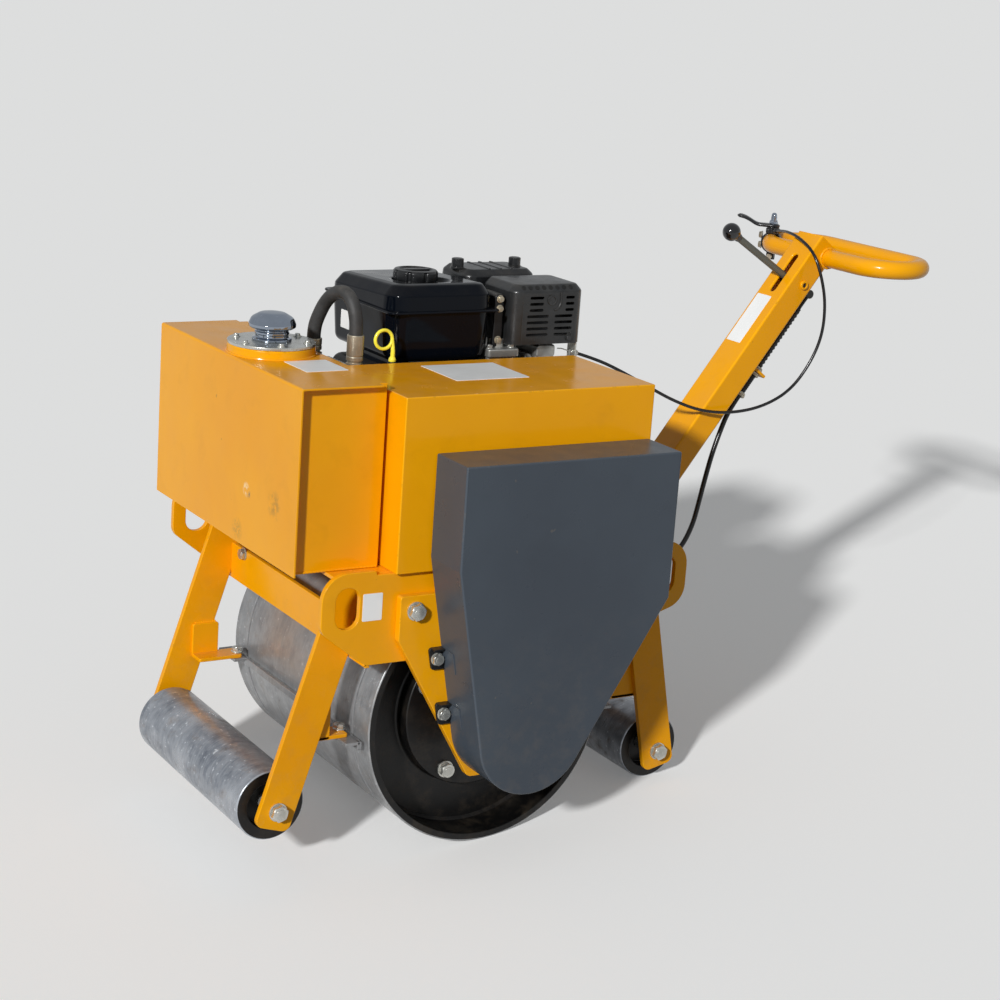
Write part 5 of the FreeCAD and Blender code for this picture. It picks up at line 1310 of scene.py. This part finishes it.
class MakeHandle(bpy.types.Operator):
    """Leaning box-section column, its ring, foot bolts and cable stop"""
    bl_idname = "roller.make_handle"
    bl_label = "Handle"

    def bar(self, low, high, near, far, half, soft=1.0, side=0.0):
        """Bar along the column between two reaches from its foot and two depths under its face."""
        rows = [foot + along * a + down * b for a, b in ((low, near), (high, near), (high, far), (low, far))]
        return slab([(c[0], c[2], 0) for c in rows], side - half, side + half, "y", soft)

    def wall(self, low, high, near, far, half, soft, holes=()):
        """Wall across the column, drawn in its upper face's plane and thick along the depth."""
        return on_column(slab(rectangle(low, high, -half, half, 0), near, far, "z", soft, holes, steps=6))

    def execute(self, context):
        s = sizes()
        hole = rectangle(column_length - 127.5, column_length - 46.5, -7, 7, 6.5)
        top = self.wall(0, column_length, 0, 4, column_half, (3.4, 0), [hole])
        under = self.wall(0, column_length, column_depth - 4, column_depth, column_half, (0, 3.4), [hole])
        flank = self.bar(0, column_length, 4, column_depth - 4, 1.5, 0, column_half - 1.5)
        ends = [self.bar(a, a + 3, 1.2, column_depth - 1.2, column_half - 1.2, 0.8) for a in (0.0, column_length - 3)]
        stop = self.bar(column_length - 259.5, column_length - 254.5, column_depth - 1, column_depth + 34, 23.1, 0.8)
        boss = lathe([(4.4, 32), (8, 32, 0), (8, 37, 1.2), (4.4, 37, 0.6)], (lever_pivot[0], 0, lever_pivot[2]),
                     (0, 1, 0), 32, 3, closed=True)
        beads = []
        for depth in (column_depth,):
            a = foot + along * (column_length - 262) + down * (depth + 0.5)
            beads.append(weld(a + (0, -22, 0), a + (0, 22, 0), 2.0))
        swell = 1 + 0.15 * np.sin(12 * turns(48))
        ring_bead = tube(hoop((ring_x[0], 33.6, ring_z), 17.4, True, 48), 2.3 * swell, True, 10)
        column = joined(top, under, both(flank), *ends, stop, both(boss), *beads, both(ring_bead))
        emit("column_box", column, "yellow_paint", "frame", ["handle_column"])
        t = np.linspace(-pi / 2, pi / 2, 33)
        right = np.column_stack([ring_mid + ring_bend * np.sin(-t), ring_straight + ring_bend * np.cos(t)])
        left = np.column_stack([ring_mid + ring_bend * np.sin(t), -ring_straight - ring_bend * np.cos(t)])
        straight = np.linspace(-ring_straight, ring_straight, 14)[1:-1]
        loop = np.concatenate([right, np.column_stack([np.full(12, ring_x[1]), straight[::-1]]), left,
                               np.column_stack([np.full(12, ring_x[0]), straight])])
        ring = tube(np.column_stack([loop, np.full(len(loop), ring_z)]), s.ring_tube * 500, True, 48)
        emit("ring_tube", ring, "yellow_paint", "frame", ["handle_ring"])
        for name, at in zip(("low", "high"), foot_bolts):
            one = bolt((at[0], 41.3, at[2]), (0, 1, 0))
            shank = lathe([(0, -42), (8, -42), (8, 42), (0, 42)], (at[0], 0, at[2]), (0, 1, 0), 24, 1)
            emit("foot_bolt_" + name, joined(both(one), shank), "zinc", "frame", ["handle_bolt_" + name])
        return {"FINISHED"}


class MakeControls(bpy.types.Operator):
    """Direction lever with its knob and pull rod, cable fittings, and the throttle lever on the ring"""
    bl_idname = "roller.make_controls"
    bl_label = "Controls"

    def execute(self, context):
        self.lever()
        self.fittings()
        self.throttle()
        return {"FINISHED"}

    def lever(self):
        """Direction lever, its pin and knob, the pull rod's boot and the cable's sleeve."""
        s = sizes()
        top, low = lever_pivot + lever_axis * 158, lever_pivot - lever_axis * 47
        rod = tube(line_points(low, top, 12), 6.3, sides=28)
        pin = lathe([(0, -35), (4, -35, 0.5), (4, 35, 0.5), (0, 35)], lever_pivot, (0, 1, 0), 24, 2)
        emit("lever_rod", rod, "lever_paint", "frame", ["direction_lever"])
        emit("lever_pin", pin, "engine_black")
        r = s.knob_radius * 1000
        knob = ball(top + lever_axis * (r - 2), r, lever_axis, 56)
        collar = lathe([(0, -7), (7.4, -7, 1), (9.5, 3, 1), (0, 3)], top, lever_axis, 36, 2)
        emit("knob_ball", joined(knob, collar), "knob_black", "frame", ["lever_knob"])
        eye_at = low + lever_axis * 8
        sleeve_end = cable_start + along * 66
        far = np.array((eye_at[0], 10.6, eye_at[2]))
        boot_end = sleeve_end + (np.array((eye_at[0], sleeve_end[1], eye_at[2])) - sleeve_end) * 0.8
        path = line_points(cable_start, sleeve_end, 60)
        sleeve = tube(path, 5.7 + 0.3 * np.sin(np.arange(60) * 1.7), sides=20)
        locks = [nut_ring(cable_start, along, 17, 8), nut_ring(cable_line + along * 3, along, 17, 6),
                 nut_ring(cable_line - along * 9, along, 17, 6)]
        emit("cable_sleeve", sleeve, "engine_black")
        emit("cable_locknuts", joined(*locks), "ferrule_steel")
        steps = np.linspace(0, 1, 70)
        boot = tube(line_points(sleeve_end - along * 6, boot_end, 70),
                    4.9 + 0.9 * np.cos(steps * 2 * pi * 17) * np.minimum(1, 8 * (1 - steps)), sides=22)
        stem = tube(line_points(boot_end, far, 4), 3.3, sides=16)
        eye = lathe([(0, 6.6), (8, 6.6, 1), (8, 14.6, 1), (0, 14.6)], (eye_at[0], 0, eye_at[2]), (0, 1, 0), 28, 3)
        emit("pull_boot", joined(boot, stem, eye), "black_plastic", "frame", ["pull_rod"])

    def fittings(self):
        """Gland of the control cable and bracket of the throttle cable."""
        end = np.array(gland_end)
        heading = end - np.array((-334.0, 62.0, 356.0))
        heading /= np.linalg.norm(heading)
        tip = end + heading * 22
        gland = lathe([(0, 0), (6.4, 0, 1), (7.5, 2, 1), (7.5, 8, 0.5), (6.6, 9, 0), (6.6, 22), (0, 22)], end, heading,
                      32, 2)
        lock = nut_ring((-290, tip[1], 360), (1, 0, 0), 22, 9.5)
        emit("gland_nut", joined(gland, lock), "zinc", "frame", ["cable_gland"])
        end, before = np.array(throttle_end), np.array(throttle_before)
        heading = (end - before) / np.linalg.norm(end - before)
        ferrule = lathe([(0, 0), (4.4, 0, 0.6), (5.25, 2, 0.6), (5.25, 12, 0.6), (3, 14, 0.5), (0, 14)], end, heading,
                        28, 2)
        tip = end + heading * 14
        shelf_z = tip[2] - 16
        tab = block((-268, -265), (tip[1] - 12, tip[1] + 12), (shelf_z, 763), 0.6, axis="x")
        shelf = block((-268, -227), (tip[1] - 12, tip[1] - 2), (shelf_z, shelf_z + 3), 0.6, axis="z")
        wire = tube([tip - heading * 2, tip + heading * 16, tip + heading * 24 + (0, 0, -2)], 1.0, sides=10)
        emit("cable_bracket", joined(ferrule, tab, shelf, wire), "zinc", "frame", ["throttle_bracket"])

    def throttle(self):
        """Split clamp on the ring with the throttle's hub, blade, cable guide, nut and screws."""
        tangent = np.array((-sin(clamp_turn), -cos(clamp_turn), 0))
        outward = np.array((cos(clamp_turn), -sin(clamp_turn), 0))
        band = lathe([(16.5, -7.5, 0.5), (19.6, -7.5, 1), (19.6, 7.5, 1), (16.5, 7.5, 0.5)], seat, tangent, 64, 3,
                     closed=True)
        hub_top = ring_z + 28.6
        hub = lathe([(0, 16), (11, 16), (13, 18, 1), (13, 25, 1.2), (11.5, 26, 0.5), (11.5, 28.6, 0.6), (0, 28.6)],
                    seat, (0, 0, 1), 44, 3)
        ears = block((-7, 7), (-7.5, 7.5), (ring_z - 31.6, ring_z - 17), 1.2, 3, axis="x")
        # Painted shade: a thin dark block in the clamp stands for the shade in its slit.
        gap = block((-7.6, 7.6), (-1.1, 1.1), (ring_z - 32, ring_z - 17), 0.2, 0.3, axis="x")
        housing = block((-11, 14), (-12, 9), (ring_z + 15, ring_z + 25), 2, 4)
        turned = [turned_about(one, (0, 0, 0), (0, 0, 1), 180 - degrees(clamp_turn)) for one in (ears, housing)]
        turned = [moved(one, (seat[0], seat[1], 0)) for one in turned]
        slit = moved(turned_about(gap, (0, 0, 0), (0, 0, 1), 180 - degrees(clamp_turn)), (seat[0], seat[1], 0))
        guide_start = np.array((seat[0] + 20, seat[1] + 36, ring_z + 26))
        heading = guide_start - np.array((seat[0] + 33, seat[1] + 66, ring_z + 31))
        heading /= np.linalg.norm(heading)
        guide_end = guide_start + heading * 8
        guide = lathe([(0, 0), (3.6, 0, 0.5), (4.5, 1.5, 0.5), (4.5, 8, 0.6), (0, 8)], guide_start, heading, 28, 2)
        arm = tube(line_points(guide_end, (seat[0], seat[1], guide_end[2]), 6), 3.9, sides=18)
        profile = ((-12, -1), (30, -1), (46, 8), (56, 12), (68, 13))
        px, pz = np.array(profile, float).T

        def lift(x):
            fine = np.interp(x, px, pz)
            return np.convolve(np.pad(fine, 3, "edge"), np.ones(7) / 7, "valid")
        stations = ((-12, 0, 10), (0, 0, 13), (12, 0, 11.5), (24, 0.5, 9), (38, 1.5, 8), (50, 1.2, 10), (59, 1, 12),
                    (68, 1, 11.5))
        blade = strap(stations, 7.0, lift)
        blade = moved(turned_about(blade, (0, 0, 0), (0, 0, 1), -42), (seat[0], seat[1], hub_top - 0.2))
        emit("throttle_paddle", joined(band, hub, *turned, guide, arm, blade), "black_plastic", "frame",
             ["throttle_lever"])
        emit("clamp_slit_shade", slit, "dark_inside")
        stud_base = hub_top + 4.2
        acorn = joined(washer((seat[0], seat[1], stud_base), (0, 0, 1), 9, 1.4),
                       nut_ring((seat[0], seat[1], stud_base + 1.4), (0, 0, 1), 14, 6.5),
                       lathe([(0, 7), (5.6, 7), (5.6, 14, 1), (5.1, 15, 1), (5.1, 18, 3), (3.2, 21.6, 3), (0, 22)],
                             (seat[0], seat[1], stud_base), (0, 0, 1), 36, 4))
        emit("throttle_nut", acorn, "chrome")
        low = np.array((seat[0], seat[1], ring_z - 25.6))
        pinch = joined(tube(line_points(low - tangent * 12, low + tangent * 12, 4), 3.4, sides=18),
                       nut_ring(low + tangent * 8, tangent, 10, 5), hex_head(low - tangent * 7.5, -tangent, 10, 6))
        side_at = seat + outward * 18.5 - tangent * 2 + (0, 0, 3)
        screws = [bolt(side_at + (0, 0, lift_by), outward, 11, 5, 7.5, 1.5) for lift_by in (-9, 9)]
        emit("pinch_screws", joined(pinch, *screws), "ferrule_steel")


class MakePlates(bpy.types.Operator):
    """Blank plates on the tank, the housing, the side plate and the column"""
    bl_idname = "roller.make_plates"
    bl_label = "Blank plates"

    def execute(self, context):
        plates = [block((-63, 69), (90, 205), (housing_top - 0.2, housing_top + 0.5), 0.2, 2, axis="z"),
                  block((229, 300), (75, 155), (tank_top - 0.2, tank_top + 0.5), 0.2, 2, axis="z"),
                  block((222, 255), (side_y[1] - 0.2, side_y[1] + 0.5), (409, 452), 0.2, 2),
                  block((88.5, 90.4), (-150, -108), (770, 800), 0.3, 2, axis="x")]
        plates.append(on_column(block((436, 538), (-27, 12), (-0.5, 0.2), 0.2, 2, axis="z")))
        emit("blank_plates", joined(*plates), "plate_white")
        return {"FINISHED"}


class MakeStage(bpy.types.Operator):
    """Pale floor, key light, even fill and the camera at the photograph's angle"""
    bl_idname = "roller.make_stage"
    bl_label = "Stage"

    def add(self, tree, kind, *values, slots, **settings):
        """A node with its settings, and its inputs given or linked."""
        node = tree.nodes.new(kind)
        for key, value in settings.items():
            setattr(node, key, value)
        for slot, value in zip(slots, values):
            if isinstance(value, bpy.types.NodeSocket):
                tree.links.new(value, node.inputs[slot])
            else:
                node.inputs[slot].default_value = value
        return node

    def seen(self, tree):
        """One for what the camera sees, straight or in a mirror, and nothing for the light on the machine."""
        path = tree.nodes.new("ShaderNodeLightPath").outputs
        mirrored = self.add(tree, "ShaderNodeMath", path["Is Camera Ray"], path["Is Glossy Ray"], operation="MAXIMUM",
                            slots=(0, 1))
        both_ways = self.add(tree, "ShaderNodeMath", mirrored.outputs[0], path["Is Transmission Ray"],
                             operation="MAXIMUM", slots=(0, 1))
        return both_ways.outputs[0]

    def execute(self, context):
        scene = context.scene
        look = scene.roller_look
        floor = bpy.data.meshes.new("studio_floor")
        floor.from_pydata([(-60, -60, 0), (60, -60, 0), (60, 60, 0), (-60, 60, 0)], [], [(0, 1, 2, 3)])
        plane = bpy.data.objects.new("studio_floor", floor)
        scene.collection.objects.link(plane)
        made = bpy.data.materials.new("studio_floor")
        made.use_nodes = True
        floor.materials.append(made)
        shader = made.node_tree.nodes["Principled BSDF"]
        shader.inputs["Roughness"].default_value = 0.95
        shader.inputs["Specular IOR Level"].default_value = 0.0
        seen = self.seen(made.node_tree)
        colour = self.add(made.node_tree, "ShaderNodeMix", seen, (*[c * 0.38 for c in look.floor_tone], 1),
                          (*look.floor_tone, 1),
                          data_type="RGBA", slots=(0, 6, 7))
        made.node_tree.links.new(colour.outputs[2], shader.inputs["Base Color"])
        shader.inputs["Emission Color"].default_value = (1, 1, 1, 1)
        glow = self.add(made.node_tree, "ShaderNodeMath", seen, look.floor_glow, operation="MULTIPLY", slots=(0, 1))
        made.node_tree.links.new(glow.outputs[0], shader.inputs["Emission Strength"])
        world = bpy.data.worlds.new("studio")
        scene.world = world
        world.use_nodes = True
        nodes, links = world.node_tree.nodes, world.node_tree.links
        sky = nodes["Background"]
        sky.inputs["Color"].default_value = (0.94, 0.97, 1.0, 1)
        strength = self.add(world.node_tree, "ShaderNodeMix", self.seen(world.node_tree), look.sky_strength,
                            look.backdrop,
                            data_type="FLOAT", slots=(0, 2, 3))
        links.new(strength.outputs[0], sky.inputs["Strength"])
        lamp = bpy.data.lights.new("key_light", "SUN")
        lamp.energy = look.sun_strength
        lamp.angle = radians(4)
        key = bpy.data.objects.new("key_light", lamp)
        scene.collection.objects.link(key)
        key.rotation_euler = Vector((-0.70, -0.53, -0.49)).to_track_quat("-Z", "Y").to_euler()
        data = bpy.data.cameras.new("photo_view")
        data.sensor_width = 36
        data.sensor_fit = "HORIZONTAL"
        data.lens = 76.713
        data.clip_start = 0.1
        data.clip_end = 200
        camera = bpy.data.objects.new("photo_view", data)
        scene.collection.objects.link(camera)
        right = Vector((-0.85865189, 0.512126, -0.02106878))
        up = Vector((-0.17281701, -0.25056448, 0.95255012))
        ahead = Vector((-0.48254659, -0.82155, -0.30365175))
        turn = Matrix((right, up, -ahead)).transposed().to_4x4()
        turn.translation = Vector(drum_place) + Vector((1.560558, 2.963566, 1.357962))
        camera.matrix_world = turn
        scene.camera = camera
        scene.view_settings.view_transform = "Standard"
        return {"FINISHED"}


class RollerPanel(bpy.types.Panel):
    """Lists the pieces of the roller"""
    bl_idname = "VIEW3D_PT_roller"
    bl_label = "Road roller"
    bl_space_type = "VIEW_3D"
    bl_region_type = "UI"
    bl_category = "Roller"

    def draw(self, context):
        for operator in operators:
            self.layout.operator(operator.bl_idname)


operators = (MakeStage, MakeCables, MakeDrum, MakeRollers, MakeFrame, MakeTank, MakeHousing, MakeEngine, MakeHandle,
             MakeControls, MakePlates)
groups = (RollerSizes, RollerLook)


def register():
    for item in (*groups, *operators, RollerPanel):
        bpy.utils.register_class(item)
    bpy.types.Scene.roller_sizes = bpy.props.PointerProperty(type=RollerSizes)
    bpy.types.Scene.roller_look = bpy.props.PointerProperty(type=RollerLook)


def unregister():
    del bpy.types.Scene.roller_look
    del bpy.types.Scene.roller_sizes
    for item in (RollerPanel, *operators[::-1], *groups[::-1]):
        bpy.utils.unregister_class(item)


def dress_nodes():
    """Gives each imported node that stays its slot's finish."""
    slots = {row["node"]: row["material_slot"] for row in frame["record"]["subparts"]}
    for name, obj in frame["nodes"].items():
        for k in range(len(obj.material_slots)):
            obj.material_slots[k].material = finishes[slots[name]]


def main():
    register()
    finishes.update(make_finishes())
    dress_nodes()
    for operator in operators:
        group, call = operator.bl_idname.split(".")
        getattr(getattr(bpy.ops, group), call)()


if __name__ == "__main__":
    main()
